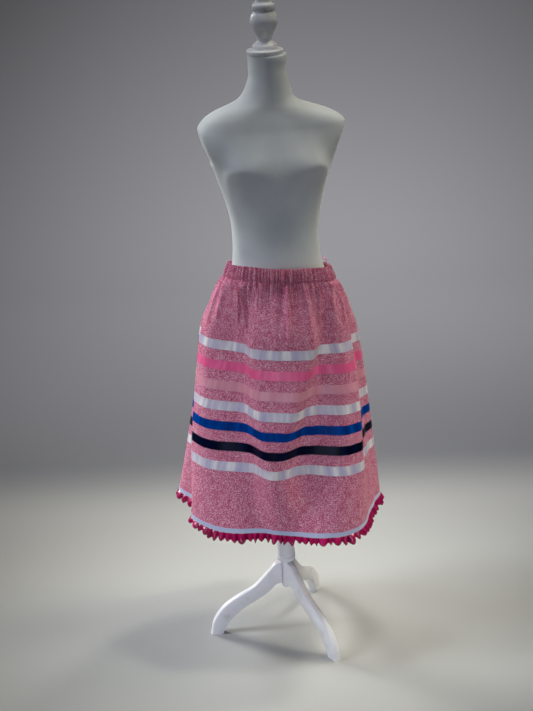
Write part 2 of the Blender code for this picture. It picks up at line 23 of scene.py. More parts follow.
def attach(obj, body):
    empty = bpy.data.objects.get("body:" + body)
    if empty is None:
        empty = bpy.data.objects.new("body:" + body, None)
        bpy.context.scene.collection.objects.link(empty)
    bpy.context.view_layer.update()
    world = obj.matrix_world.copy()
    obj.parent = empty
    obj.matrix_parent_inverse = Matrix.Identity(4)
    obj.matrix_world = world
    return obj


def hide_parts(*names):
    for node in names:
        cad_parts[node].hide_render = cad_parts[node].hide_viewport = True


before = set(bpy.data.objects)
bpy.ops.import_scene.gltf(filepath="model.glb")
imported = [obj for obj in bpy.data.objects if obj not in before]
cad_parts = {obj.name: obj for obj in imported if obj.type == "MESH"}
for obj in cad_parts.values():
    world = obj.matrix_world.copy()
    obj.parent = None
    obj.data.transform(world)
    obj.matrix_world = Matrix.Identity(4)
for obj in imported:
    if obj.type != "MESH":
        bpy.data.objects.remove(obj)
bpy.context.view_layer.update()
BODY = "root"
POLE_X = 0.0101
POLE_Y = -0.0089
STRIPE_SCALE = 0.314    # makes the stripes of a wave texture lie one unit apart
RIM_ANGLE = math.radians(60)    # the edges of cloth that turn by more than this stay sharp
LEVEL_SLACK = 1e-6

log = logging.getLogger("ribbon_skirt")


# ---------------------------------------------------------------- numbers and curves


def ease(value: Any) -> np.ndarray:
    """Ease from 0 to 1, flat at both ends."""
    value = np.clip(value, 0, 1)
    return value * value * (3 - 2 * value)


def mix(start: Any, end: Any, share: Any) -> Any:
    """Mix two values."""
    return start + (end - start) * share


def turn_from(angle: np.ndarray, centre: Any) -> np.ndarray:
    """Return how far each angle lies from a centre, from -pi to pi."""
    return (angle - centre + math.pi) % (2 * math.pi) - math.pi


def angles_round(count: int) -> np.ndarray:
    """Return evenly spaced angles all round, from the back."""
    return -math.pi + 2 * math.pi * np.arange(count) / count


def uneven_edges(widths: np.ndarray) -> np.ndarray:
    """Return the edges of cells of given relative widths, from 0 to 1."""
    return np.concatenate([[0], np.cumsum(widths)]) / widths.sum()


def curve_between(t: float, first: Any, first_slope: Any, last: Any, last_slope: Any) -> Any:
    """Return the place at the share t of a cubic between two ends with given slopes."""
    return (
        (2 * t**3 - 3 * t**2 + 1) * first
        + (t**3 - 2 * t**2 + t) * first_slope
        + (3 * t**2 - 2 * t**3) * last
        + (t**3 - t**2) * last_slope
    )


def smooth_columns(places: Sequence[float], values: Any, place: float) -> np.ndarray:
    """Read the columns of a table at one place, on smooth curves through its rows.

    Args:
        places: where each row lies, rising.
        values: the rows.
        place: where to read.

    Returns:
        One number for each column.
    """
    values = np.asarray(values, float)
    slopes = np.gradient(values, places, axis=0)
    row = int(np.clip(np.searchsorted(places, place) - 1, 0, len(places) - 2))
    step = places[row + 1] - places[row]
    t = float(np.clip((place - places[row]) / step, 0, 1))
    first, last = step * slopes[row], step * slopes[row + 1]
    return curve_between(t, values[row], first, values[row + 1], last)


def table(kind: type, *rows: tuple[float, ...]) -> tuple[Any, ...]:
    """Return rows of numbers as named rows of one kind."""
    return tuple(kind(*row) for row in rows)


# ---------------------------------------------------------------- nodes and finishes


def linear(hex_color: str) -> tuple[float, float, float, float]:
    """Turn an sRGB colour such as 'C0708A' into a linear RGBA tuple."""
    channels = [int(hex_color[i:i + 2], 16) / 255 for i in (0, 2, 4)]
    light = [c / 12.92 if c <= 0.04045 else ((c + 0.055) / 1.055) ** 2.4 for c in channels]
    return (light[0], light[1], light[2], 1.0)


def per_metre(millimetres: float) -> float:
    """Return how many times a length in millimetres fits in a metre."""
    return 1000 / millimetres


class Nodes:
    """A node tree that is being built."""

    def __init__(self, tree: bpy.types.NodeTree) -> None:
        self.tree = tree

    def add(
        self,
        kind: str,
        settings: dict[str, Any] | None = None,
        values: dict[Any, Any] | None = None,
        links: dict[Any, bpy.types.NodeSocket] | None = None,
    ) -> bpy.types.Node:
        """Add a node with its settings and links.

        Args:
            kind: the node's type.
            settings: the node's own properties.
            values: the values of its inputs, by name or number.
            links: the outputs that feed its inputs, by name or number.

        Returns:
            The node.
        """
        node = self.tree.nodes.new(kind)
        for key, value in (settings or {}).items():
            setattr(node, key, value)
        for key, value in (values or {}).items():
            node.inputs[key].default_value = value
        for key, source in (links or {}).items():
            self.tree.links.new(source, node.inputs[key])
        return node


class Finish(Nodes):
    """A Principled material that is being built.

    Inputs given by name have _ for a space. Each texture returns its strength from 0 to 1.
    """

    def __init__(self, name: str, **uniform: float) -> None:
        """Start the material, with the inputs that are the same all over."""
        self.material = bpy.data.materials.new(name)
        self.material.use_nodes = True
        super().__init__(self.material.node_tree)
        self.shader = self.tree.nodes["Principled BSDF"]
        for key, value in uniform.items():
            self.shader.inputs[key.replace("_", " ")].default_value = value

    def places(self, output: str, *scale: float) -> bpy.types.NodeSocket:
        """Return texture coordinates, with a scale on each axis where it is given."""
        source = self.add("ShaderNodeTexCoord").outputs[output]
        if not scale:
            return source
        mapping = self.add("ShaderNodeMapping", values={"Scale": scale}, links={"Vector": source})
        return mapping.outputs["Vector"]

    def texture(
        self, kind: str, places: bpy.types.NodeSocket, settings: dict[str, Any], inputs: dict
    ) -> bpy.types.NodeSocket:
        """Add a texture of one kind with its settings and inputs."""
        values = {key.replace("_", " "): value for key, value in inputs.items()}
        return self.add(kind, settings, values, {"Vector": places}).outputs["Fac"]

    def noise(self, places: bpy.types.NodeSocket, **inputs: float) -> bpy.types.NodeSocket:
        """Add a noise."""
        return self.texture("ShaderNodeTexNoise", places, {}, inputs)

    def stripes(
        self, places: bpy.types.NodeSocket, direction: str = "X", **inputs: float
    ) -> bpy.types.NodeSocket:
        """Add wavering stripes, one unit apart along one axis."""
        settings = {"bands_direction": direction}
        inputs = {"Scale": STRIPE_SCALE, **inputs}
        return self.texture("ShaderNodeTexWave", places, settings, inputs)

    def ramp(
        self, factor: bpy.types.NodeSocket, stops: Sequence[float], *colors: str
    ) -> bpy.types.NodeSocket:
        """Add a colour ramp with a colour at each stop, and return its colour."""
        node = self.add("ShaderNodeValToRGB", links={"Fac": factor})
        elements = node.color_ramp.elements
        while len(elements) < len(stops):
            elements.new(stops[-1])
        for element, stop, color in zip(elements, stops, colors):
            element.position = stop
            element.color = linear(color)
        return node.outputs["Color"]

    def calculate(self, operation: str, first: Any, second: Any) -> bpy.types.NodeSocket:
        """Add a Math node on two values or sockets, and return its result."""
        values, links = {}, {}
        for number, term in enumerate((first, second)):
            (links if isinstance(term, bpy.types.NodeSocket) else values)[number] = term
        return self.add("ShaderNodeMath", {"operation": operation}, values, links).outputs[0]

    def bump(
        self,
        height: bpy.types.NodeSocket,
        depth: float,
        strength: float,
        under: bpy.types.NodeSocket | None = None,
    ) -> bpy.types.NodeSocket:
        """Add a bump of a depth in metres over an optional coarser one, and return its normal."""
        links = {"Height": height} if under is None else {"Height": height, "Normal": under}
        values = {"Strength": strength, "Distance": depth}
        return self.add("ShaderNodeBump", values=values, links=links).outputs["Normal"]

    def done(self, **outputs: bpy.types.NodeSocket) -> bpy.types.Material:
        """Feed the shader's inputs and return the material."""
        for key, source in outputs.items():
            self.tree.links.new(source, self.shader.inputs[key.replace("_", " ")])
        return self.material


@dataclass(frozen=True)
class HeatheredCotton:
    """Plain-woven quilting cotton, printed with a heathered speckle.

    Curly flecks of pale and deep pink a few millimetres long cover a mid pink ground, so that
    the cloth looks grainy from a step away. The surface is matt, with a faint bloom.
    """

    ground: str = "C85478"
    pale: str = "E2A4B8"
    deep: str = "82304E"
    light: str = "F6DAE4"
    fleck_mm: float = 2.0
    grain_mm: float = 1.3
    cloud_mm: float = 16.0
    shares: tuple[float, float, float] = (0.62, 0.30, 0.08)     # of flecks, grain and clouds
    stops: tuple[float, ...] = (0.38, 0.455, 0.50, 0.545, 0.63)
    thread_mm: float = 1.2      # coarser than the real 0.35 mm, so that it shows
    thread_depth: float = 0.00012
    thread_strength: float = 0.5

    def material(self, name: str = "heathered_pink_cotton") -> bpy.types.Material:
        """Return the printed cotton."""
        finish = Finish(
            name, Roughness=0.92, Sheen_Weight=0.05, Sheen_Roughness=0.6, Specular_IOR_Level=0.15
        )
        places = finish.places("Object")
        sizes = [per_metre(size) for size in (self.fleck_mm, self.grain_mm, self.cloud_mm)]
        layers = (
            finish.noise(places, Scale=sizes[0], Detail=2.0, Roughness=0.6, Distortion=0.7),
            finish.noise(places, Scale=sizes[1], Detail=1.0, Distortion=0.6),
            finish.noise(places, Scale=sizes[2], Detail=2.0),
        )
        flecks, grain, clouds = (
            finish.calculate("MULTIPLY", *pair) for pair in zip(layers, self.shares)
        )
        speckle = finish.calculate("ADD", finish.calculate("ADD", flecks, grain), clouds)
        color = finish.ramp(
            speckle, self.stops, self.deep, self.ground, self.ground, self.pale, self.light
        )
        return finish.done(Base_Color=color, Normal=self.weave(finish))

    def weave(self, finish: Finish) -> bpy.types.NodeSocket:
        """Add the crossing threads as a bump, and return its normal."""
        scale = per_metre(self.thread_mm)
        places = finish.places("UV", scale, scale, 1)
        threads = [
            finish.stripes(places, direction, Distortion=0.8, Detail=1.0, Detail_Scale=2.0)
            for direction in ("X", "Y")
        ]
        height = finish.calculate("MAXIMUM", *threads)
        return finish.bump(height, self.thread_depth, self.thread_strength)


@dataclass(frozen=True)
class Satin:
    """Woven polyester satin ribbon.

    Long floats lie along the ribbon, so it has a soft silky gloss, with faint puckers beside its
    stitched edges. Its sheen is also painted into its colour: long soft bands mix a painted
    shade, the ribbon's own colour and a painted highlight. Sizes in millimetres are those along
    the ribbon and across it.
    """

    # color is the satin's own colour; shade is a painted shade and bright a painted highlight
    color: str
    shade: str
    bright: str
    roughness: float = 0.34
    gloss: float = 0.22
    stops: tuple[float, float, float] = (0.36, 0.50, 0.62)
    # sizes of the soft bands of painted shade and painted highlight, upright across the ribbon
    sheen_band_mm: tuple[float, float] = (34.0, 250.0)
    pucker_mm: tuple[float, float] = (9.0, 22.0)
    pucker_depth: float = 0.00022
    pucker_strength: float = 0.8
    rib_mm: tuple[float, float] = (14.0, 1.6)   # coarser than the real 0.2 mm, so that it shows
    rib_depth: float = 0.00003
    rib_strength: float = 0.35

    def material(self, name: str) -> bpy.types.Material:
        """Return the satin in this colour."""
        finish = Finish(name, Roughness=self.roughness, Specular_IOR_Level=self.gloss)
        band, pucker, rib = (
            finish.places("UV", per_metre(along), per_metre(across), 1)
            for along, across in (self.sheen_band_mm, self.pucker_mm, self.rib_mm)
        )
        sheen_bands = finish.noise(band, Scale=1.0, Detail=3.0, Roughness=0.55)
        puckers = finish.noise(pucker, Scale=1.0, Detail=1.5, Roughness=0.4)
        ribs = finish.noise(rib, Scale=1.0, Detail=1.0)
        # painted shade and painted highlight, mixed over the satin's own colour in soft bands for
        # its sheen
        color = finish.ramp(sheen_bands, self.stops, self.shade, self.color, self.bright)
        normal = finish.bump(puckers, self.pucker_depth, self.pucker_strength)
        normal = finish.bump(ribs, self.rib_depth, self.rib_strength, normal)
        return finish.done(Base_Color=color, Normal=normal)


@dataclass(frozen=True)
class RibbedTape:
    """Narrow woven hem tape with fine cross ribs, pale blue and slightly glossy."""

    color: str = "C9CFE8"
    shade: str = "A9B2D4"
    rib_mm: float = 3.2         # coarser than the real 1 mm, so that it shows
    rib_length_mm: float = 12.0
    rib_depth: float = 0.0002
    rib_strength: float = 0.6
    stops: tuple[float, float] = (0.1, 0.75)

    def material(self, name: str = "pale_blue_hem_tape") -> bpy.types.Material:
        """Return the ribbed tape."""
        finish = Finish(name, Roughness=0.5, Sheen_Weight=0.15, Specular_IOR_Level=0.4)
        places = finish.places("UV", per_metre(self.rib_mm), per_metre(self.rib_length_mm), 1)
        ribs = finish.stripes(places, Distortion=1.2, Detail=1.0)
        color = finish.ramp(ribs, self.stops, self.shade, self.color)
        normal = finish.bump(ribs, self.rib_depth, self.rib_strength)
        return finish.done(Base_Color=color, Normal=normal)


@dataclass(frozen=True)
class KnitJersey:
    """Fine white cotton jersey, stretched smooth over the form.

    It is matt with a soft bloom at its edges, faint upright wales and a little unevenness from
    the padding below it.
    """

    color: str = "DCE0DF"
    shade: str = "D0D5D5"
    wale_mm: float = 1.8        # coarser than the real 0.8 mm, so that it shows
    wale_depth: float = 0.00008
    padding_depth: float = 0.0006
    relief_strength: float = 0.4
    stops: tuple[float, float] = (0.35, 0.65)

    def material(self, name: str = "white_knit_jersey") -> bpy.types.Material:
        """Return the jersey."""
        finish = Finish(
            name, Roughness=0.88, Sheen_Weight=0.3, Sheen_Roughness=0.5, Specular_IOR_Level=0.3
        )
        mottle = finish.noise(finish.places("Object"), Scale=9.0, Detail=4.0)
        color = finish.ramp(mottle, self.stops, self.shade, self.color)
        scale = per_metre(self.wale_mm)
        wales = finish.stripes(
            finish.places("UV", scale, scale, 1), Distortion=1.5, Detail=2.0, Detail_Scale=3.0
        )
        normal = finish.bump(mottle, self.padding_depth, self.relief_strength)
        normal = finish.bump(wales, self.wale_depth, self.relief_strength, normal)
        return finish.done(Base_Color=color, Normal=normal)


@dataclass(frozen=True)
class PaintedWood:
    """Turned and sawn beech under sprayed white satin paint.

    The paint is smooth with a soft gloss, the grain barely shows through it, and a few rubbed
    places are a little duller and creamier.
    """

    color: str = "EBEBEE"
    rubbed: str = "DAD7D3"
    stops: tuple[float, float] = (0.30, 0.46)
    roughness: tuple[float, float] = (0.48, 0.34)   # of rubbed places and of sound paint
    roughness_stops: tuple[float, float] = (0.3, 0.7)
    grain_mm: tuple[float, float] = (4.0, 48.0)     # across and along the grain
    grain_depth: float = 0.00010
    grain_strength: float = 0.25

    def material(self, name: str = "white_painted_beech") -> bpy.types.Material:
        """Return the painted wood."""
        finish = Finish(name, Specular_IOR_Level=0.5, Coat_Weight=0.1, Coat_Roughness=0.25)
        rubs = finish.noise(finish.places("Object"), Scale=24.0, Detail=5.0, Roughness=0.6)
        limits = ("From Min", "From Max", "To Min", "To Max")
        values = dict(zip(limits, (*self.roughness_stops, *self.roughness)))
        gloss = finish.add("ShaderNodeMapRange", values=values, links={"Value": rubs})
        across, along = (per_metre(size) for size in self.grain_mm)
        grain = finish.noise(
            finish.places("Object", across, across, along), Scale=1.0, Detail=2.0
        )
        return finish.done(
            Base_Color=finish.ramp(rubs, self.stops, self.rubbed, self.color),
            Roughness=gloss.outputs["Result"],
            Normal=finish.bump(grain, self.grain_depth, self.grain_strength),
        )


@dataclass(frozen=True)
class SewingThread:
    """Twisted polyester sewing thread, slightly glossy, a shade off the cloth that it holds."""

    color: str
    shade: str
    stops: tuple[float, float] = (0.4, 0.6)

    def material(self, name: str) -> bpy.types.Material:
        """Return the thread in this colour."""
        finish = Finish(name, Roughness=0.55, Sheen_Weight=0.2)
        twist = finish.noise(finish.places("Object"), Scale=900.0, Detail=1.0)
        return finish.done(Base_Color=finish.ramp(twist, self.stops, self.shade, self.color))


# ---------------------------------------------------------------- meshes


def link_mesh(
    name: str, points: np.ndarray, faces: list, uv: np.ndarray, material: bpy.types.Material
) -> bpy.types.Object:
    """Add a smooth-shaded mesh object.

    Args:
        name: the piece's name.
        points: its points, in metres.
        faces: its faces, as lists of point numbers.
        uv: a flat place for each corner of each face, in metres.
        material: its finish.

    Returns:
        The object.
    """
    mesh = bpy.data.meshes.new(name)
    mesh.from_pydata(points.reshape(-1, 3).tolist(), [], faces)
    layer = mesh.uv_layers.new(name="cloth")
    layer.data.foreach_set("uv", np.asarray(uv, np.float32).ravel())
    mesh.materials.append(material)
    mesh.shade_smooth()
    piece = bpy.data.objects.new(name, mesh)
    bpy.context.scene.collection.objects.link(piece)
    return piece


def grid_quads(rows: int, columns: int, closed: bool) -> tuple[np.ndarray, np.ndarray]:
    """Return the quads of a grid of points, facing out.

    Args:
        rows: how many rows of points there are, from the top down.
        columns: how many columns there are.
        closed: whether the last column joins the first.

    Returns:
        The row and column of each quad's corners, where a column may equal the number of
        columns if the grid closes, and the point numbers of the corners.
    """
    wide = columns if closed else columns - 1
    row, column = np.meshgrid(np.arange(rows - 1), np.arange(wide), indexing="ij")
    row = row.ravel()
    column = column.ravel()
    corners = ((0, 0), (1, 0), (1, 1), (0, 1))
    quads = np.stack([np.stack([row + r, column + c], axis=-1) for r, c in corners], axis=1)
    return quads, quads[..., 0] * columns + quads[..., 1] % columns


@dataclass
class ClothGrid:
    """A stretch of cloth as a grid of points, rows from the top down.

    Attributes:
        points: rows by columns by 3, in metres.
        closed: whether the last column joins the first.
    """

    points: np.ndarray
    closed: bool = True

    def normals(self) -> np.ndarray:
        """Return the outward normal at each point."""
        if self.closed:
            across = np.roll(self.points, -1, axis=1) - np.roll(self.points, 1, axis=1)
        else:
            across = np.gradient(self.points, axis=1)
        normal = np.cross(np.gradient(self.points, axis=0), across)
        return normal / np.linalg.norm(normal, axis=-1, keepdims=True)

    def moved(self, distance: float) -> "ClothGrid":
        """Return the cloth moved out by a distance."""
        return ClothGrid(self.points + self.normals() * distance, self.closed)

    def row_length(self, row: int) -> float:
        """Return the length of one row."""
        line = self.points[row]
        if self.closed:
            line = np.vstack([line, line[:1]])
        return float(np.linalg.norm(np.diff(line, axis=0), axis=1).sum())

    def flat_places(self) -> np.ndarray:
        """Return the place of each point on the flat cloth, with one more column if closed."""
        points = self.points
        if self.closed:
            points = np.concatenate([points, points[:, :1]], axis=1)
        across = np.linalg.norm(np.diff(points, axis=1), axis=-1).mean(axis=0)
        down = np.linalg.norm(np.diff(points, axis=0), axis=-1).mean(axis=1)
        u = np.concatenate([[0], np.cumsum(across)])
        v = -np.concatenate([[0], np.cumsum(down)])
        return np.stack(np.meshgrid(u, v), axis=-1)

    def wall(self, name: str, wall: float, material: bpy.types.Material) -> bpy.types.Object:
        """Add the cloth as a closed wall that reaches inwards from its points.

        Args:
            name: the piece's name.
            wall: the cloth's thickness.
            material: its finish.

        Returns:
            The piece.
        """
        rows, columns = self.points.shape[:2]
        layers = np.stack([self.points, self.moved(-wall).points])
        flat = self.flat_places()
        inner = rows * columns
        quads, faces = grid_quads(rows, columns, self.closed)
        uv = flat[quads[..., 0], quads[..., 1]]
        parts = [(faces, uv), (faces[:, ::-1] + inner, uv[:, ::-1])]
        across = np.arange(columns if self.closed else columns - 1)
        down = np.arange(rows - 1)
        for row, turned in ((0, True), (rows - 1, False)):
            near = row * columns + across
            far = row * columns + (across + 1) % columns
            first, second = flat[row, across], flat[row, across + 1]
            rim = np.stack([near, near + inner, far + inner, far], axis=1)
            rim_uv = np.stack([first, first, second, second], axis=1)
            parts.append((rim[:, ::-1], rim_uv[:, ::-1]) if turned else (rim, rim_uv))
        for column, turned in () if self.closed else ((0, True), (columns - 1, False)):
            upper = down * columns + column
            lower = upper + columns
            first, second = flat[down, column], flat[down + 1, column]
            rim = np.stack([upper, lower, lower + inner, upper + inner], axis=1)
            rim_uv = np.stack([first, second, second, first], axis=1)
            parts.append((rim[:, ::-1], rim_uv[:, ::-1]) if turned else (rim, rim_uv))
        all_faces, all_uv = (np.concatenate(part) for part in zip(*parts))
        piece = link_mesh(name, layers, all_faces.tolist(), all_uv, material)
        piece.data.set_sharp_from_angle(angle=RIM_ANGLE)
        return piece

    def tube(self, name: str, material: bpy.types.Material) -> bpy.types.Object:
        """Add closed rings as one solid piece, with a flat end at the first and last ring."""
        rows, columns = self.points.shape[:2]
        quads, faces = grid_quads(rows, columns, True)
        last = (rows - 1) * columns
        ends = [list(range(columns)), list(range(last + columns - 1, last - 1, -1))]
        flat = self.flat_places()[quads[..., 0], quads[..., 1]].reshape(-1, 2)
        uv = np.concatenate([flat, np.zeros((2 * columns, 2))])
        return link_mesh(name, self.points, faces.tolist() + ends, uv, material)


def dress(piece: bpy.types.Object, node: str | None) -> None:
    """Put a piece on the body, in place of a node where one is given."""
    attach(piece, BODY)
    if node is not None:
        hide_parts(node)
    log.info("%s: %d faces", piece.name, len(piece.data.polygons))


# ---------------------------------------------------------------- the skirt's shape


class Section(NamedTuple):
    """A level cut: half the width, the depth in front of the pole and behind, the shift in X."""

    level: float
    half_width: float
    front: float
    back: float
    shift: float


class FoldCut(NamedTuple):
    """A long fold at one level.

    The crest's angle and the widths of the slopes to its left and right are in degrees. Flat is
    the share of a slope's width that stays at the crest's height.
    """

    level: float
    angle: float
    left: float
    right: float
    flat: float
    height: float


class Crease(NamedTuple):
    """A soft ridge, or a trough where its height is negative, that runs down from the waist.

    Its angles at its top, middle and lower end and its half width are in degrees.
    """

    top: float
    low: float
    angle_top: float
    angle_middle: float
    angle_low: float
    half_width: float
    height: float


def section_at(table: Sequence[Section], level: float) -> Section:
    """Return the section of a table at a level."""
    rows = list(table)[::-1]
    levels = [row.level for row in rows]
    return Section(level, *smooth_columns(levels, [row[1:] for row in rows], level))


def oval_radius(section: Section, angle: np.ndarray, squareness: float = 0.0) -> np.ndarray:
    """Return the distance from the middle to an oval section's edge at each angle."""
    power = 2 + squareness
    depth = np.where(np.cos(angle) > 0, section.front, section.back)
    across = np.abs(np.sin(angle) / section.half_width) ** power
    along = np.abs(np.cos(angle) / depth) ** power
    return (across + along) ** (-1 / power)


@dataclass
class SkirtShape:
    """The outer surface that every piece of the skirt lies on."""

    band_top: float = 1.1435
    seam: float = 1.1070
    ribbons_top: float = 0.9375
    hem: float = 0.432
    side_rise: float = 0.070    # how much higher it hangs for each metre towards -X
    waist_dip: float = 0.0245   # how much lower the waist is at its sides and back
    dip_from: float = 0.5       # the angle in radians where the dip starts
    dip_over: float = 1.7
    gathers: int = 74
    gather_heights: tuple[float, float] = (0.0050, 0.0088)
    gather_widths: tuple[float, float] = (0.55, 1.45)
    gather_width_power: float = 0.4     # how much a gather's width counts for its height
    gather_lengths: tuple[float, float] = (0.020, 0.095)
    gather_lean: float = -0.16  # how far crests lie off their middles, less than 0 frontwards
    gather_stray: float = 0.13
    gather_roundness: float = 1.7
    gather_depth: float = 0.42  # the share of their mean height that goes into the section
    seam_pinch: float = 0.0028  # how far the sewn line draws the gathers in
    seam_reach: float = 0.0040
    crease_steep: float = 1.50  # how far it reaches away from the front, in half widths
    crease_easy: float = 0.80   # and towards the front
    crease_easy_power: float = 1.5
    crease_start: float = 12    # a crease is full after one part in this many of its length
    crease_fade: float = 0.45   # and fades out from this share of its length
    ridge_strength: float = 1.45
    trough_strength: float = 2.1
    hidden_creases: int = 15
    hidden_angles: tuple[float, float] = (97, 263)
    hidden_stray: float = 0.3
    hidden_lengths: tuple[float, float] = (0.05, 0.19)
    hidden_drift: float = 6
    hidden_bend: float = 0.4    # the share of the drift that its middle has
    hidden_heights: tuple[float, float, float] = (0.0042, 0.0032, -0.0032)
    hidden_sizes: tuple[float, float] = (0.8, 1.2)
    hidden_widths: tuple[float, float] = (2.6, 4.6)
    wave_counts: tuple[int, ...] = (7, 9, 11, 13, 16, 19, 23, 27, 33)
    wave_size: float = 0.0055   # divided by the number of waves all round
    wave_slant: float = 14
    wave_start: float = 0.12    # how far below the seam the waves reach their full height
    seed: int = 11
    sections: tuple[Section, ...] = table(
        Section,
        (1.1435, 0.1320, 0.103, 0.101, 0.0130), (1.1070, 0.1478, 0.107, 0.108, 0.0125),
        (1.0850, 0.1600, 0.109, 0.111, 0.0115), (1.0500, 0.1715, 0.113, 0.118, 0.0115),
        (1.0000, 0.1790, 0.117, 0.127, 0.0120), (0.9380, 0.1890, 0.121, 0.136, 0.0100),
        (0.8200, 0.2095, 0.140, 0.152, 0.0070), (0.7000, 0.2255, 0.162, 0.171, 0.0035),
        (0.5900, 0.2385, 0.181, 0.189, 0.0020), (0.4320, 0.2570, 0.213, 0.214, 0.0000),
    )
    folds: tuple[tuple[FoldCut, ...], ...] = tuple(table(FoldCut, *cuts) for cuts in (
        ((0.9375, 1, 45, 46, 0.64, 0.032), (0.7650, -4, 34, 33, 0.30, 0.043),
         (0.6050, -7, 20, 22, 0.00, 0.038), (0.4320, 3, 26, 26, 0.00, 0.008)),
        ((0.9375, 71, 21, 13, 0.20, 0.016), (0.7650, 60, 26, 17, 0.20, 0.032),
         (0.6050, 51, 30, 26, 0.10, 0.044), (0.4320, 36, 36, 42, 0.05, 0.045)),
        ((0.9375, 101, 18, 22, 0.25, 0.024), (0.4320, 104, 20, 24, 0.25, 0.026)),
        ((0.9375, 139, 29, 19, 0.25, 0.021), (0.4320, 134, 30, 20, 0.25, 0.036)),
        ((0.9375, 177, 24, 32, 0.30, 0.026), (0.4320, 186, 20, 28, 0.30, 0.031)),
        ((0.9375, -141, 17, 27, 0.25, 0.018), (0.4320, -136, 20, 32, 0.25, 0.037)),
        ((0.9375, -102, 22, 18, 0.25, 0.030), (0.7650, -102, 23, 19, 0.25, 0.022),
         (0.6050, -102, 23, 20, 0.25, 0.031), (0.4320, -102, 24, 20, 0.25, 0.046)),
        ((0.9375, -80, 12, 28, 0.20, 0.029), (0.7650, -72, 15, 32, 0.20, 0.033),
         (0.6050, -64, 18, 38, 0.20, 0.040), (0.4320, -55, 21, 44, 0.25, 0.045)),
    ))
    creases: tuple[Crease, ...] = table(
        Crease,
        (1.107, 0.930, -78, -76, -74, 3.0, 0.0035), (1.107, 0.955, -67, -67, -67, 3.5, 0.0050),
        (1.107, 1.040, -59, -60, -56, 2.6, 0.0036), (1.107, 1.070, -54, -55, -56, 2.2, 0.0030),
        (1.107, 0.970, -52, -49, -52, 2.4, 0.0056), (1.107, 0.925, -47, -41, -36, 2.8, 0.0076),
        (1.100, 1.035, -33, -32, -30, 3.4, -0.0018), (1.107, 1.040, -26, -22, -18, 3.0, 0.0048),
        (1.107, 0.965, 2, 0, -4, 5.5, -0.0034), (1.107, 0.930, 9, 8, 5, 3.0, 0.0058),
        (1.107, 1.050, 17, 17, 16, 3.2, -0.0028), (1.100, 0.960, 32, 31, 27, 4.5, 0.0040),
        (1.107, 0.940, 47, 46, 37, 3.4, 0.0026), (1.107, 0.915, 56, 53, 46, 7.0, -0.0056),
        (1.107, 0.985, 67, 62, 59, 2.8, 0.0038), (1.107, 0.955, 74, 72, 66, 2.8, 0.0042),
        (1.107, 0.930, 84, 87, 72, 3.0, 0.0036),
    )
    gather_edges: np.ndarray = field(init=False)
    gather_table: np.ndarray = field(init=False)
    hidden_table: list[Crease] = field(init=False)
    wave_table: list[tuple[float, ...]] = field(init=False)

    def __post_init__(self) -> None:
        """Settle the size and place of everything that is uneven."""
        rng = np.random.default_rng(self.seed)
        widths = rng.uniform(*self.gather_widths, self.gathers)
        self.gather_edges = 2 * math.pi * uneven_edges(widths) - math.pi
        middles = (self.gather_edges[1:] + self.gather_edges[:-1]) / 2
        stray = rng.uniform(-self.gather_stray, self.gather_stray, self.gathers)
        heights = rng.uniform(*self.gather_heights, self.gathers)
        lengths = rng.uniform(*self.gather_lengths, self.gathers)
        crests = 0.5 + (self.gather_lean * np.sin(middles) + stray)
        self.gather_table = np.stack([heights * widths**self.gather_width_power, lengths, crests])
        self.hidden_table = [self.hidden_crease(rng, i) for i in range(self.hidden_creases)]
        self.wave_table = [
            (n, self.wave_size / n, rng.uniform(0, 2 * math.pi),
             rng.uniform(-self.wave_slant, self.wave_slant))
            for n in self.wave_counts
        ]

    def hidden_crease(self, rng: np.random.Generator, index: int) -> Crease:
        """Return one of the creases that the skirt has behind."""
        first, last = self.hidden_angles
        place = index + rng.uniform(-self.hidden_stray, self.hidden_stray)
        angle = first + ((last - first) * place) / (self.hidden_creases - 1)
        low = self.seam - rng.uniform(*self.hidden_lengths)
        drift = rng.uniform(-self.hidden_drift, self.hidden_drift)
        height = rng.choice(self.hidden_heights) * rng.uniform(*self.hidden_sizes)
        width = rng.uniform(*self.hidden_widths)
        middle = angle + drift * self.hidden_bend
        return Crease(self.seam, low, angle, middle, angle + drift, width, height)

    def fold_height(
        self, fold: tuple[FoldCut, ...], angle: np.ndarray, level: float
    ) -> np.ndarray:
        """Return how far one long fold stands out at each angle of a level."""
        cuts = fold[::-1]
        levels = [cut.level for cut in cuts]
        cut = FoldCut(level, *smooth_columns(levels, [cut[1:] for cut in cuts], level))
        growth = ease((self.seam - level) / (self.seam - self.ribbons_top))
        offset = turn_from(angle, math.radians(cut.angle))
        reach = np.abs(offset) / np.radians(np.where(offset < 0, cut.left, cut.right))
        flat = max(cut.flat, 0.0)
        return cut.height * growth * (1 - ease((reach - flat) / (1 - flat)))

    def crease_height(self, crease: Crease, angle: np.ndarray, level: float) -> np.ndarray:
        """Return how far one crease stands out at each angle of a level."""
        down = (crease.top - level) / (crease.top - crease.low)
        if not 0 <= down <= 1:
            return np.zeros_like(angle)
        bend = crease.angle_middle - (crease.angle_top + crease.angle_low) / 2
        centre = mix(crease.angle_top, crease.angle_low, down) + 4 * bend * down * (1 - down)
        fading = ease((down - self.crease_fade) / (1 - self.crease_fade))
        along = ease(down * self.crease_start) * (1 - fading)
        offset = turn_from(angle, math.radians(centre)) / math.radians(crease.half_width)
        if crease.height < 0:
            return self.trough_strength * crease.height * along * (1 - ease(np.abs(offset)))
        outward = offset * (1 if turn_from(math.radians(centre), 0) > 0 else -1)
        steep = 1 - ease(outward / self.crease_steep)
        easy = np.clip(1 + outward / self.crease_easy, 0, 1) ** self.crease_easy_power
        rise = np.where(outward > 0, steep, easy)
        return self.ridge_strength * crease.height * along * rise

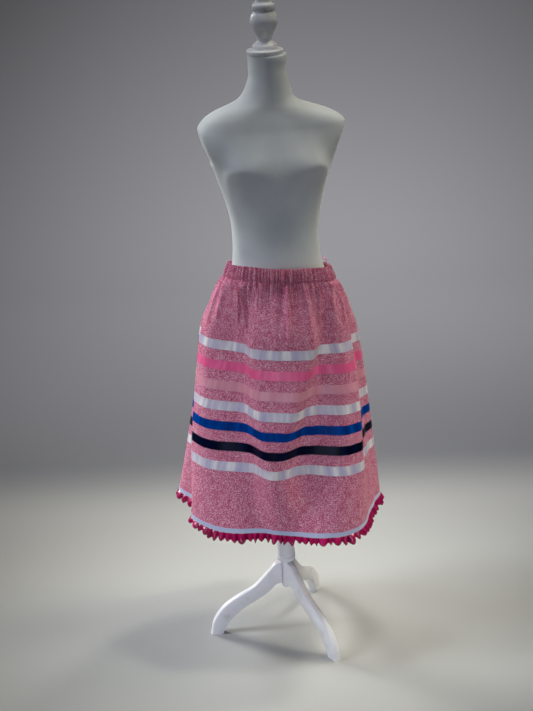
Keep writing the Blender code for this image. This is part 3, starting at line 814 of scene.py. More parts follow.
    def gathered(self, angle: np.ndarray, level: float) -> np.ndarray:
        """Return the height of the gathers at each angle of a level."""
        turned = turn_from(angle, 0)
        index = np.searchsorted(self.gather_edges, turned, "right") - 1
        index = np.clip(index, 0, self.gathers - 1)
        start, end = self.gather_edges[index], self.gather_edges[index + 1]
        full, length, crests = self.gather_table
        crest = crests[index]
        size = full * (1 - ease(max(self.seam - level, 0) / length))
        share = (turned - start) / (end - start)
        rise = np.where(share < crest, share / crest, (1 - share) / (1 - crest))
        rounded = 1 - (1 - np.clip(rise, 0, 1)) ** self.gather_roundness
        return size[index] * rounded - self.gather_depth * size.mean()

    def waves(self, angle: np.ndarray, level: float) -> np.ndarray:
        """Return the low, slow waves that the hanging cloth has everywhere."""
        height = np.zeros_like(angle)
        for count, size, start, slant in self.wave_table:
            height += size * np.cos(count * angle + start + slant * level)
        return height * ease((self.seam - level) / self.wave_start)

    def row(self, angle: np.ndarray, level: float, lift: Any = 0.0) -> np.ndarray:
        """Return the points of one level row.

        Args:
            angle: the angle of each point.
            level: the row's level.
            lift: how far each point is moved out.

        Returns:
            The points, one for each angle.
        """
        section = section_at(self.sections, level)
        radius = oval_radius(section, angle) + lift + self.gathered(angle, level)
        pinch = np.exp(-(((level - self.seam) / self.seam_reach) ** 2))
        radius = radius - self.seam_pinch * pinch
        radius = radius + self.waves(angle, level)
        for fold in self.folds:
            radius = radius + self.fold_height(fold, angle, level)
        for crease in (*self.creases, *self.hidden_table):
            radius = radius + self.crease_height(crease, angle, level)
        x = POLE_X + section.shift + radius * np.sin(angle)
        y = POLE_Y - radius * np.cos(angle)
        round_ = (np.abs(turn_from(angle, 0)) - self.dip_from) / self.dip_over
        up = (level - self.ribbons_top) / (self.seam - self.ribbons_top)
        dip = self.waist_dip * ease(round_) * ease(up)
        return np.stack([x, y, level - dip - self.side_rise * (x - POLE_X)], axis=-1)

    def grid(self, angle: np.ndarray, levels: Sequence[float], closed: bool = True) -> ClothGrid:
        """Return a stretch of the surface."""
        return ClothGrid(np.stack([self.row(angle, level) for level in levels]), closed)


# ---------------------------------------------------------------- the skirt's pieces


class Half(Enum):
    """One of the skirt's two panels, by the angle of its middle in degrees."""

    FRONT = 0
    BACK = 180


class RibbonRow(NamedTuple):
    """One ribbon: its colour's name, which its finish starts with, and its satin."""

    node: str
    color: str
    satin: Satin


# the second and third colour of each satin are its painted shade and its painted highlight
WHITE_SATIN = Satin("D0C9D5", "BAB2CF", "F0EBEA")
HOT_PINK_SATIN = Satin("EC6494", "E45A8C", "F876A4")
BLUSH_SATIN = Satin("DE96A6", "D68C9E", "E4A2B0")
ROYAL_BLUE_SATIN = Satin("003A88", "002F76", "0048A0", gloss=0.02)
NAVY_SATIN = Satin("020A26", "01061C", "051032", gloss=0.08)
RIBBON_ROWS = (
    RibbonRow("ribbon_white_top", "white", WHITE_SATIN),
    RibbonRow("ribbon_hot_pink", "hot_pink", HOT_PINK_SATIN),
    RibbonRow("ribbon_blush_pink", "blush", BLUSH_SATIN),
    RibbonRow("ribbon_white_middle", "white", WHITE_SATIN),
    RibbonRow("ribbon_royal_blue", "royal_blue", ROYAL_BLUE_SATIN),
    RibbonRow("ribbon_navy", "navy", NAVY_SATIN),
    RibbonRow("ribbon_white_low", "white", WHITE_SATIN),
)


@dataclass
class RibbonSkirt:
    """The skirt: two panels, waistband, seven ribbons, hem tape and hanger loop."""

    shape: SkirtShape = field(default_factory=SkirtShape)
    columns: int = 760
    side_radius: float = 0.2        # from the middle to a side seam
    seam_gap: float = 0.0003
    seam_tuck: float = 0.0020       # how far the panels' top edge lies inside the band
    tuck_rise: float = 0.003        # and how far up it reaches
    cloth_wall: float = 0.0012
    gather_stops: tuple[float, float] = (1.085, 1.03)   # levels where rows grow farther apart
    gather_counts: tuple[int, int, int] = (12, 16, 16)
    ribbon_rows: int = 5
    rows_between: int = 4
    low_counts: tuple[int, int] = (16, 3)
    band_columns: int = 1200
    band_rows: int = 20
    band_wall: float = 0.0016
    band_bulge: float = 0.0014
    band_arc: float = 1.04          # how much of a half circle its profile follows
    band_arc_start: float = 0.02
    band_roundness: float = 0.6
    band_roll: float = 0.0010       # how far the folded top edge rolls in
    band_roll_over: float = 0.10
    band_edge_drop: float = 0.0002
    band_scallop: float = 0.42      # how far the top edge follows the gathers up
    scallop_over: float = 0.3
    ribbon_width: float = 0.025
    ribbon_pitch: float = 0.0533
    ribbon_lift: float = 0.00035
    ribbon_wall: float = 0.00030
    tape_width: float = 0.012
    loop_angle: float = math.radians(108)
    loop_step: float = math.radians(1)      # over which the band's direction is taken
    loop_half_span: float = 0.0065
    loop_height: float = 0.013
    loop_width: float = 0.0045
    loop_wall: float = 0.0009
    loop_points: tuple[int, int] = (7, 33)
    loop_belly: float = 0.05        # how much smaller its edges are than its middle
    loop_squareness: float = 0.8

    def ribbon_levels(self, index: int) -> tuple[float, float]:
        """Return the levels of a ribbon's upper and lower edges."""
        top = self.shape.ribbons_top - index * self.ribbon_pitch
        return top, top - self.ribbon_width

    def panel_levels(self) -> list[float]:
        """Return the levels of the panels' rows, closer together near the waist."""
        shape = self.shape
        stops = [shape.seam - self.seam_gap, *self.gather_stops]
        counts = list(self.gather_counts)
        for index in range(len(RIBBON_ROWS)):
            stops += self.ribbon_levels(index)
            counts += [self.ribbon_rows - 1, self.rows_between]
        counts[-1:] = self.low_counts
        stops += [shape.hem + self.tape_width, shape.hem]
        levels = [stops[0]]
        for start, end, count in zip(stops, stops[1:], counts):
            levels += np.linspace(start, end, count + 1)[1:].tolist()
        return levels

    def build_panel(self, half: Half, node: str, material: bpy.types.Material) -> None:
        """Build the front or the back panel between the side seams."""
        middle = math.radians(half.value)
        angle = middle + np.linspace(-math.pi / 2, math.pi / 2, self.columns // 2 + 1)
        trim = self.seam_gap / 2 / self.side_radius
        angle[0] += trim
        angle[-1] -= trim
        seam = self.shape.seam
        rows = [self.shape.row(angle, level, -self.seam_tuck)
                for level in (seam + self.tuck_rise, seam)]
        rows += [self.shape.row(angle, level) for level in self.panel_levels()]
        grid = ClothGrid(np.stack(rows), closed=False)
        piece = grid.wall(f"{half.name.lower()}_panel", self.cloth_wall, material)
        dress(piece, node)

    def build_waistband(self, material: bpy.types.Material) -> None:
        """Build the elastic casing, folded over at its top and full between its edges."""
        angle = angles_round(self.band_columns)
        shape = self.shape
        height = shape.band_top - shape.seam
        scallop = self.band_scallop * shape.gathered(angle, shape.seam)
        rows = []
        for share in np.linspace(0, 1, self.band_rows):
            arc = min(share * self.band_arc + self.band_arc_start, 1)
            fullness = math.sin(math.pi * arc) ** self.band_roundness
            rolled = self.band_roll * (1 - ease(share / self.band_roll_over))
            lift = self.band_bulge * fullness - rolled
            row = shape.row(angle, shape.band_top - share * height, lift)
            row[:, 2] += scallop * (1 - ease(share / self.scallop_over))
            rows.append(row)
        rows[0][:, 2] -= self.band_edge_drop
        piece = ClothGrid(np.stack(rows)).wall("gathered_waistband", self.band_wall, material)
        dress(piece, "waistband")

    def band_on_skirt(self, top: float, bottom: float) -> ClothGrid:
        """Return the cloth that lies flat on the skirt between two levels."""
        levels = [level for level in self.panel_levels()
                  if bottom - LEVEL_SLACK <= level <= top + LEVEL_SLACK]
        grid = self.shape.grid(angles_round(self.columns), levels)
        return grid.moved(self.ribbon_lift + self.ribbon_wall)

    def build_ribbons(self) -> list[ClothGrid]:
        """Build the seven ribbons, and return the cloth of each."""
        finishes: dict[str, bpy.types.Material] = {}
        grids = []
        for index, row in enumerate(RIBBON_ROWS):
            if row.color not in finishes:
                finishes[row.color] = row.satin.material(f"{row.color}_satin_ribbon")
            grid = self.band_on_skirt(*self.ribbon_levels(index))
            piece = grid.wall(f"satin_{row.node}", self.ribbon_wall, finishes[row.color])
            dress(piece, row.node)
            flat = (round(grid.row_length(0), 2), self.ribbon_width)
            grids.append(grid)
        return grids

    def build_tape(self) -> ClothGrid:
        """Build the pale tape over the hem, and return its cloth."""
        grid = self.band_on_skirt(self.shape.hem + self.tape_width, self.shape.hem)
        piece = grid.wall("pale_hem_tape", self.ribbon_wall, RibbedTape().material())
        dress(piece, "hem_tape")
        flat = (round(grid.row_length(-1), 2), self.tape_width)
        return grid

    def build_loop(self) -> None:
        """Build the satin loop that stands on the back of the waistband."""
        shape = self.shape
        angle = self.loop_angle + self.loop_step * np.array([-1, 0, 1])
        edge = shape.row(angle, shape.band_top, -self.band_wall / 2)
        along = edge[2] - edge[0]
        along[2] = 0
        along /= np.linalg.norm(along)
        out = np.array([along[1], -along[0], 0])
        base = edge[1] + np.array([0, 0, self.loop_half_span * shape.side_rise])
        across, around = self.loop_points
        turn = np.linspace(0, math.pi, around)
        rows = []
        for share in np.linspace(1, -1, across):
            size = 1 - self.loop_belly * share**2
            line = base - along * (self.loop_half_span * size * np.cos(turn))[:, None]
            line = line + out * (share * self.loop_width / 2)
            line[:, 2] += self.loop_height * size * np.sin(turn) ** self.loop_squareness
            rows.append(line)
        grid = ClothGrid(np.stack(rows), closed=False)
        # own pink, with a painted shade and a painted highlight mixed in as sheen bands
        satin = Satin("F58CC2", "EE70B0", "FFB0DA", roughness=0.3).material("pink_satin_loop")
        piece = grid.wall("satin_hanger_loop", self.loop_wall, satin)
        dress(piece, "hanger_loop")

    def build(self) -> tuple[list[ClothGrid], ClothGrid]:
        """Build every piece but the ruffle, and return the ribbons' and the tape's cloth."""
        cotton = HeatheredCotton().material()
        self.build_panel(Half.FRONT, "skirt_front", cotton)
        self.build_panel(Half.BACK, "skirt_back", cotton)
        self.build_waistband(cotton)
        ribbons = self.build_ribbons()
        tape = self.build_tape()
        self.build_loop()
        return ribbons, tape


@dataclass
class Ruffle:
    """The magenta satin ruffle, gathered below the hem into rounded lobes of uneven size."""

    shape: SkirtShape
    lobes: int = 84
    columns_per_lobe: int = 20
    rows: int = 15
    drop: float = 0.026
    flare: float = 0.0085
    flare_power: float = 0.7
    swell_top: float = 0.0016
    swell_low: float = 0.0150
    swell_middle: float = 0.60  # the share of a lobe's swell that lies inside the hem's line
    belly: float = 0.60         # how far down the swell goes round its half turn
    belly_start: float = 0.03
    widths: tuple[float, float] = (0.55, 1.60)
    depths: tuple[float, float] = (0.70, 1.12)
    notches: tuple[float, float] = (0.0030, 0.0095)
    leans: tuple[float, float] = (-0.0042, 0.0042)
    lean_turn: float = 2.4
    overhang: float = 0.0030    # how far a lobe swells over its neighbours
    tuck: float = 0.0042        # how far the lower edge turns back in
    tuck_from: float = 0.70
    tuck_between: float = 0.35  # the share of the tuck between two lobes
    gap: float = 0.0003
    wall: float = 0.0006
    seed: int = 5

    def grid(self) -> ClothGrid:
        """Return the ruffle's cloth."""
        rng = np.random.default_rng(self.seed)
        widths, depth, notch, lean = (
            rng.uniform(*limits, self.lobes)
            for limits in (self.widths, self.depths, self.notches, self.leans)
        )
        edges = uneven_edges(widths)
        across = (np.arange(self.columns_per_lobe) + 0.5) / self.columns_per_lobe
        share = np.tile(across, self.lobes)
        lobe = np.repeat(np.arange(self.lobes), self.columns_per_lobe)
        angle = 2 * math.pi * mix(edges[lobe], edges[lobe + 1], share) - math.pi
        line = self.shape.row(angle, self.shape.hem)
        around = np.roll(line, -1, axis=0) - np.roll(line, 1, axis=0)
        along = around / np.linalg.norm(around, axis=1, keepdims=True)
        out = np.stack([along[:, 1], -along[:, 0], np.zeros(len(angle))], axis=1)
        round_ = 1 - (1 - np.sin(math.pi * share)) ** 2
        size = np.sqrt(widths)[lobe] * depth[lobe]
        before, after = (np.minimum(depth, np.roll(depth, shift))[lobe] for shift in (1, -1))
        between = np.where(share < 0.5, before, after)
        hollow = np.where(share < 0.5, notch[lobe], np.roll(notch, -1)[lobe]) * (1 - round_)
        rows = []
        for down in np.linspace(0, 1, self.rows):
            belly = math.sin(math.pi * min(down * self.belly + self.belly_start, 1))
            swell = mix(self.swell_top, self.swell_low, belly) * size
            turned = self.tuck * ease((down - self.tuck_from) / (1 - self.tuck_from))
            push = self.flare * down**self.flare_power + swell * (round_ - self.swell_middle)
            push = push - self.wall - turned * mix(self.tuck_between, 1, round_)
            shift = self.overhang * belly * np.sin(2 * math.pi * share)
            shift = shift + lean[lobe] * math.sin(self.lean_turn * down) * round_
            row = line + out * push[:, None] + along * shift[:, None]
            fall = self.drop * down * mix(between, depth[lobe], round_)
            row[:, 2] = line[:, 2] - self.gap - fall + hollow * down**2
            rows.append(row)
        return ClothGrid(np.stack(rows))

    def build(self) -> None:
        """Build the ruffle."""
        grid = self.grid()
        # own magenta, with a painted shade and a painted highlight mixed in as sheen bands
        satin = Satin(
            "A80C50", "880642", "BC1A62", 0.24, 0.6, pucker_mm=(6.0, 22.0), pucker_depth=0.0004
        ).material("magenta_satin")
        piece = grid.wall("magenta_hem_ruffle", self.wall, satin)
        dress(piece, "hem_ruffle")
        flat = (round(grid.row_length(self.rows // 2), 2), self.drop)


# ---------------------------------------------------------------- stitches


@dataclass
class Stitching:
    """Rows of single stitches, set along the edges of cloth by Geometry Nodes.

    Attributes:
        pitch: from one stitch to the next.
        length: the length of a stitch.
        thickness: the thickness of the thread.
        slant: how far each stitch is turned from the line, in the cloth's plane.
        inset: how far each line lies in from the cloth's edge.
        lift: how far each line lies off the cloth's face.
    """

    pitch: float = 0.0036
    length: float = 0.0022
    thickness: float = 0.0006
    slant: float = math.radians(38)
    inset: float = 0.0008
    lift: float = 0.0001

    def tree(self) -> bpy.types.NodeTree:
        """Return the node group that sets stitches along a curve."""
        group = bpy.data.node_groups.new("stitches_along_a_line", "GeometryNodeTree")
        group.interface.new_socket("Line", in_out="INPUT", socket_type="NodeSocketGeometry")
        for name in ("Pitch", "Length", "Thickness", "Slant"):
            group.interface.new_socket(name, in_out="INPUT", socket_type="NodeSocketFloat")
        group.interface.new_socket("Thread", in_out="INPUT", socket_type="NodeSocketMaterial")
        group.interface.new_socket("Stitches", in_out="OUTPUT", socket_type="NodeSocketGeometry")
        nodes = Nodes(group)
        given = nodes.add("NodeGroupInput").outputs
        lengths = {"Curve": given["Line"], "Length": given["Pitch"]}
        points = nodes.add("GeometryNodeCurveToPoints", {"mode": "LENGTH"}, links=lengths).outputs
        sphere = {"Radius": 0.5, "Subdivisions": 1}
        grain = nodes.add("GeometryNodeMeshIcoSphere", values=sphere).outputs["Mesh"]
        sides = {"X": given["Thickness"], "Y": given["Thickness"], "Z": given["Length"]}
        size = nodes.add("ShaderNodeCombineXYZ", links=sides).outputs[0]
        turn = nodes.add("ShaderNodeCombineXYZ", links={"X": given["Slant"]}).outputs[0]
        turns = {"Rotation": points["Rotation"], "Rotate By": turn}
        turned = nodes.add(
            "FunctionNodeRotateRotation", {"rotation_space": "LOCAL"}, links=turns
        ).outputs[0]
        grains = {
            "Points": points["Points"], "Instance": grain, "Rotation": turned, "Scale": size
        }
        placed = nodes.add("GeometryNodeInstanceOnPoints", links=grains).outputs[0]
        for kind in ("RealizeInstances", "SetShadeSmooth"):
            placed = nodes.add(f"GeometryNode{kind}", links={"Geometry": placed}).outputs[0]
        finish = {"Geometry": placed, "Material": given["Thread"]}
        finished = nodes.add("GeometryNodeSetMaterial", links=finish).outputs[0]
        nodes.add("NodeGroupOutput", links={"Stitches": finished})
        return group

    def edge_lines(self, grid: ClothGrid) -> list[np.ndarray]:
        """Return the lines a little way in from the upper and lower edges of a cloth's face."""
        raised = grid.moved(self.lift).points
        lines = []
        for edge, inner in ((0, 1), (-1, -2)):
            step = raised[inner] - raised[edge]
            length = np.linalg.norm(step, axis=1, keepdims=True)
            lines.append(raised[edge] + step * self.inset / length)
        return lines

    def guide(self, name: str, grids: Sequence[ClothGrid]) -> bpy.types.Object:
        """Return a curve that runs along the edges of some closed cloth."""
        curve = bpy.data.curves.new(f"{name}_line", "CURVE")
        curve.dimensions = "3D"
        for grid in grids:
            for line in self.edge_lines(grid):
                spline = curve.splines.new("POLY")
                spline.points.add(len(line) - 1)
                places = np.concatenate([line, np.ones((len(line), 1))], axis=1)
                spline.points.foreach_set("co", places.ravel())
                spline.use_cyclic_u = True
        curve.twist_mode = "Z_UP"
        guide = bpy.data.objects.new(f"{name}_guide", curve)
        bpy.context.scene.collection.objects.link(guide)
        return guide

    def build(
        self, name: str, grids: Sequence[ClothGrid], thread: bpy.types.Material, slot: str
    ) -> None:
        """Build the stitches of some ribbons as one piece.

        Args:
            name: the piece's name.
            grids: the cloth of each ribbon.
            thread: the thread's finish.
            slot: not used.
        """
        guide = self.guide(name, grids)
        modifier = guide.modifiers.new("stitches", "NODES")
        group = self.tree()
        modifier.node_group = group
        wanted = {
            "Pitch": self.pitch, "Length": self.length, "Thickness": self.thickness,
            "Slant": self.slant, "Thread": thread,
        }
        for socket in group.interface.items_tree:
            if socket.name in wanted:
                modifier[socket.identifier] = wanted[socket.name]
        bpy.context.view_layer.update()
        evaluated = guide.evaluated_get(bpy.context.evaluated_depsgraph_get())
        mesh = bpy.data.meshes.new_from_object(evaluated)
        guide.modifiers.remove(modifier)
        bpy.data.objects.remove(guide)
        piece = bpy.data.objects.new(name, mesh)
        bpy.context.scene.collection.objects.link(piece)
        dress(piece, None)


# ---------------------------------------------------------------- the dress form


SOFT = False


class Turn(NamedTuple):
    """A point of a turned profile. sharp marks an edge that the tool left."""

    radius: float
    height: float
    sharp: bool = True


@dataclass
class TurnedPiece:
    """A piece turned on the pole's axis, from a profile listed from the top down."""

    name: str
    node: str
    profile: tuple[Turn, ...]
    depth: float = 1.0          # how much deeper than wide it is
    sides: int = 64
    steps: int = 6              # points between two profile points on a smooth stretch
    rounding: float = 0.0006    # how far each sharp edge is broken
    rounding_limit: float = 0.3     # and at most, as a share of the stretch beside it
    thinnest: float = 0.0003
    sharp_angle: float = math.radians(50)
    uv_step: float = 0.001

    def line(self) -> np.ndarray:
        """Return the profile with its smooth stretches and broken edges drawn in."""
        turns = self.profile
        places = np.array([(t.radius, t.height) for t in turns])
        last = len(turns) - 1
        line: list[np.ndarray] = []
        for i, turn in enumerate(turns):
            if 0 < i < last and turn.sharp:
                for other in (i - 1, i + 1):
                    step = places[other] - places[i]
                    share = min(self.rounding / np.linalg.norm(step), self.rounding_limit)
                    line.append(places[i] + step * share)
            else:
                line.append(places[i])
            if i < last and not (turn.sharp and turns[i + 1].sharp):
                out = places[i + 1] - places[i]
                start = out if turn.sharp else (places[i + 1] - places[i - 1]) / 2
                end = (places[min(i + 2, last)] - places[i]) / 2
                end = out if turns[i + 1].sharp else end
                for k in range(1, self.steps):
                    place = curve_between(k / self.steps, places[i], start, places[i + 1], end)
                    line.append(np.array([max(place[0], self.thinnest), place[1]]))
        return np.array(line)

    def build(self, material: bpy.types.Material) -> None:
        """Build the piece."""
        line = self.line()
        ring = line[line[:, 0] > 0]
        angle = 2 * math.pi * np.arange(self.sides) / self.sides
        radius = ring[:, :1]
        height = np.broadcast_to(ring[:, 1:], (len(ring), self.sides))
        x = POLE_X + radius * np.sin(angle)
        y = POLE_Y - self.depth * radius * np.cos(angle)
        points = np.stack([x, y, height], axis=-1).reshape(-1, 3)
        tips = [(POLE_X, POLE_Y, end[1]) for end in (line[0], line[-1])]
        quads, faces = grid_quads(len(ring), self.sides, True)
        faces = faces.tolist()
        top = len(points)
        last = top - self.sides
        for i in range(self.sides):
            j = (i + 1) % self.sides
            faces += [[top, i, j], [top + 1, last + j, last + i]]
        uv = np.concatenate([quads[..., ::-1].reshape(-1, 2), np.zeros((6 * self.sides, 2))])
        uv *= self.uv_step
        piece = link_mesh(self.name, np.vstack([points, tips]), faces, uv, material)
        piece.data.set_sharp_from_angle(angle=self.sharp_angle)
        dress(piece, self.node)


TURNED_PIECES = (
    TurnedPiece(
        "turned_finial",
        "finial",
        table(
            Turn,
            (0.0000, 1.8260), (0.0120, 1.8235, SOFT), (0.0190, 1.8150, SOFT),
            (0.0200, 1.8030, SOFT), (0.0216, 1.7975), (0.0275, 1.7930, SOFT),
            (0.0293, 1.7870, SOFT), (0.0285, 1.7800, SOFT), (0.0258, 1.7768),
            (0.0312, 1.7675, SOFT), (0.0345, 1.7545, SOFT), (0.0325, 1.7420, SOFT),
            (0.0272, 1.7300, SOFT), (0.0213, 1.7190, SOFT), (0.0185, 1.7095, SOFT),
            (0.0198, 1.7040, SOFT), (0.0255, 1.6995, SOFT), (0.0312, 1.6945), (0.0312, 1.6853),
            (0.0000, 1.6853),
        ),
    ),
    TurnedPiece(
        "neck_cap_plate",
        "neck_cap",
        table(
            Turn,
            (0.0000, 1.6850), (0.0440, 1.6850), (0.0460, 1.6832, SOFT), (0.0460, 1.6775),
            (0.0450, 1.6765), (0.0450, 1.6735), (0.0000, 1.6735),
        ),
        depth=1.30,
    ),
    TurnedPiece(
        "turned_pole",
        "pole",
        table(
            Turn,
            (0.0000, 0.8445), (0.0225, 0.8445), (0.0225, 0.4200), (0.0240, 0.2800, SOFT),
            (0.0262, 0.2510), (0.0255, 0.2460), (0.0272, 0.2425, SOFT), (0.0275, 0.2375, SOFT),
            (0.0262, 0.2330), (0.0200, 0.2275), (0.0000, 0.2275),
        ),
    ),
    TurnedPiece(
        "turned_hub",
        "hub",
        table(
            Turn,
            (0.0000, 0.2272), (0.0150, 0.2272), (0.0150, 0.1430), (0.0130, 0.1400),
            (0.0000, 0.1400),
        ),
        sides=48,
    ),
)


class LegPair(NamedTuple):
    """A leg's upper and lower edge at one station, by distance from the axis and height."""

    upper_out: float
    upper_up: float
    lower_out: float
    lower_up: float


@dataclass
class DressForm:
    """The jersey torso, its finial and neck cap, the pole, the hub and three curved legs."""

    yaw: float = math.radians(10)
    columns: int = 240
    row_step: float = 0.0035
    end_shares: tuple[float, ...] = (0.97, 0.6, 0.25)   # sizes of the rings on its flat ends
    top_edge_drop: float = 0.0004
    squareness: float = 0.8
    squareness_limit: float = 1.1
    band_top: float = 1.140     # the torso is a plain oval from here down
    square_over: float = 0.070  # and grows square over this height
    bust_level: float = 1.404
    bust_angle: float = math.radians(42)
    bust_height: float = 0.027
    bust_reach_up: float = 0.110
    bust_reach_down: float = 0.100
    bust_reach_round: float = math.radians(33)
    bust_bridge: float = 0.30   # share of its height lost where the jersey bridges the middle
    bust_sag_middle: float = 0.016  # how much lower its crest runs there
    bust_sag_round: float = 0.050   # and at its outer ends
    bust_crisp: float = 0.07    # how far its crest is rounded, as a share of its reach
    bust_crisp_middle: float = 0.55     # and in the middle
    arm_end_level: float = 1.490
    arm_end_out: float = 0.1852     # from the middle to a flat arm end at arm_end_level
    arm_end_slope: float = 0.364
    arm_end_low: float = 1.412
    arm_end_fade: float = 0.040
    arm_end_crispness: float = 70
    leg_first_angle: float = math.radians(186)
    leg_count: int = 3
    leg_thickness: float = 0.022
    leg_stations: int = 44
    leg_top_chamfer: float = 0.0045
    leg_low_chamfer: float = 0.0016
    leg_chamfer_round: float = 0.25     # how far a chamfer's middle stands towards the corner
    leg_sharp_angle: float = math.radians(40)
    sections: tuple[Section, ...] = table(
        Section,
        (1.6732, 0.0485, 0.0600, 0.0600, 0.0042), (1.6610, 0.0486, 0.0606, 0.0604, 0.0042),
        (1.6560, 0.0482, 0.0598, 0.0596, 0.0040), (1.6400, 0.0473, 0.0592, 0.0588, 0.0030),
        (1.6200, 0.0484, 0.0594, 0.0590, 0.0042), (1.6030, 0.0535, 0.0602, 0.0600, 0.0036),
        (1.5900, 0.0580, 0.0610, 0.0615, 0.0026), (1.5780, 0.0634, 0.0622, 0.0635, 0.0010),
        (1.5700, 0.0680, 0.0632, 0.0650, -0.0006), (1.5610, 0.0769, 0.0642, 0.0665, -0.0022),
        (1.5530, 0.0905, 0.0655, 0.0680, -0.0040), (1.5460, 0.1075, 0.0665, 0.0695, -0.0042),
        (1.5380, 0.1290, 0.0677, 0.0712, -0.0028), (1.5300, 0.1480, 0.0690, 0.0728, 0.0008),
        (1.5210, 0.1655, 0.0705, 0.0745, 0.0042), (1.5120, 0.1778, 0.0720, 0.0760, 0.0072),
        (1.5030, 0.1862, 0.0735, 0.0775, 0.0085), (1.4900, 0.1920, 0.0760, 0.0800, 0.0062),
        (1.4750, 0.1912, 0.0795, 0.0825, 0.0045), (1.4600, 0.1870, 0.0830, 0.0850, 0.0039),
        (1.4425, 0.1799, 0.0865, 0.0870, 0.0036), (1.4250, 0.1702, 0.0895, 0.0885, 0.0046),
        (1.4050, 0.1592, 0.0915, 0.0897, 0.0060), (1.3850, 0.1512, 0.0925, 0.0900, 0.0066),
        (1.3600, 0.1430, 0.0925, 0.0890, 0.0060), (1.3300, 0.1338, 0.0910, 0.0865, 0.0062),
        (1.2980, 0.1256, 0.0870, 0.0840, 0.0070), (1.2650, 0.1182, 0.0840, 0.0815, 0.0074),
        (1.2000, 0.1135, 0.0830, 0.0780, 0.0070), (1.1400, 0.1190, 0.0920, 0.0810, 0.0080),
        (1.0800, 0.1345, 0.0910, 0.0890, 0.0080), (1.0000, 0.1490, 0.0970, 0.0980, 0.0060),
        (0.9200, 0.1570, 0.0990, 0.1030, 0.0050), (0.8600, 0.1530, 0.0940, 0.0980, 0.0040),
        (0.8450, 0.1430, 0.0860, 0.0900, 0.0040),
    )
    leg_pairs: tuple[LegPair, ...] = table(
        LegPair,
        (0.0155, 0.2235, 0.0155, 0.1540), (0.0360, 0.2165, 0.0340, 0.1500),
        (0.0605, 0.1880, 0.0565, 0.1270), (0.1005, 0.1480, 0.0900, 0.1050),
        (0.1490, 0.1200, 0.1300, 0.0820), (0.1905, 0.0900, 0.1610, 0.0560),
        (0.2205, 0.0470, 0.1830, 0.0290), (0.2320, 0.0000, 0.1965, 0.0000),
    )

    def bust(self, angle: np.ndarray, level: float) -> np.ndarray:
        """Return how far the bust stands out at each angle of a level."""
        turn = np.abs(angle) - self.bust_angle
        outer = np.clip(turn / self.bust_reach_round, 0, 1)
        inner = ease(-turn / self.bust_angle)
        rise = level - self.bust_level + self.bust_sag_middle * inner
        rise = rise + self.bust_sag_round * outer**2
        away = np.abs(rise) / np.where(rise > 0, self.bust_reach_up, self.bust_reach_down)
        crisp = mix(self.bust_crisp, self.bust_crisp_middle, inner)
        away = np.hypot(away, crisp) - crisp
        full = self.bust_height * (1 - self.bust_bridge * inner) * (1 - ease(outer))
        return full * np.clip(1 - away, 0, 1) ** 2

    def cut_at_arms(self, across: np.ndarray, level: float) -> np.ndarray:
        """Return the places across the torso, held back to the flat arm ends."""
        above = max(level, self.arm_end_low)
        end = self.arm_end_out - self.arm_end_slope * (self.arm_end_level - above)
        end += self.arm_end_fade * float(ease((self.arm_end_low - level) / self.arm_end_fade))
        power = self.arm_end_crispness
        return across * (1 + (np.abs(across) / end) ** power) ** (-1 / power)

    def torso_row(self, angle: np.ndarray, level: float) -> np.ndarray:
        """Return the torso's points at one level."""
        section = section_at(self.sections, level)
        squareness = self.squareness * (section.half_width / section.front - 1)
        squareness = float(np.clip(squareness, 0, self.squareness_limit))
        squareness *= float(ease((level - self.band_top) / self.square_over))
        radius = oval_radius(section, angle, squareness) + self.bust(angle, level)
        across = self.cut_at_arms(radius * np.sin(angle), level)
        forward = radius * np.cos(angle)
        turn_x, turn_y = math.cos(self.yaw), math.sin(self.yaw)
        x = POLE_X + section.shift + across * turn_x + forward * turn_y
        y = POLE_Y + across * turn_y - forward * turn_x
        return np.stack([x, y, np.full_like(x, level)], axis=-1)

    def build_torso(self) -> None:
        """Build the torso as one closed, smooth piece."""
        angle = angles_round(self.columns)
        top = self.sections[0].level
        bottom = self.sections[-1].level
        levels = np.linspace(top, bottom, round((top - bottom) / self.row_step) + 1)
        rows = [self.torso_row(angle, level) for level in levels]
        upper, lower = (
            [row.mean(axis=0) + (row - row.mean(axis=0)) * share for share in self.end_shares]
            for row in (rows[0], rows[-1])
        )
        rows[0][:, 2] -= self.top_edge_drop
        grid = ClothGrid(np.stack(upper[::-1] + rows + lower))
        dress(grid.tube("jersey_torso", KnitJersey().material()), "form_torso")

    def leg_ring(self, pair: LegPair, angle: float) -> np.ndarray:
        """Return the chamfered outline of a leg at one station."""
        out = np.array([math.cos(angle), math.sin(angle), 0])
        side = np.array([-math.sin(angle), math.cos(angle), 0])
        pole = np.array([POLE_X, POLE_Y, 0])
        upper = pole + out * pair.upper_out + np.array([0, 0, pair.upper_up])
        lower = pole + out * pair.lower_out + np.array([0, 0, pair.lower_up])
        down = (lower - upper) / np.linalg.norm(lower - upper)
        half = self.leg_thickness / 2
        corners = (
            (upper, 1, down * self.leg_top_chamfer, self.leg_top_chamfer),
            (lower, 1, -down * self.leg_low_chamfer, self.leg_low_chamfer),
            (lower, -1, -down * self.leg_low_chamfer, self.leg_low_chamfer),
            (upper, -1, down * self.leg_top_chamfer, self.leg_top_chamfer),
        )
        ring = []
        for number, (edge, sign, inwards, size) in enumerate(corners):
            corner = edge + side * (sign * half)
            flat = corner - side * (sign * size)
            deep = corner + inwards
            middle = mix((flat + deep) / 2, corner, self.leg_chamfer_round)
            points = [flat, middle, deep]
            ring += points if number % 2 == 0 else points[::-1]
        return np.array(ring)

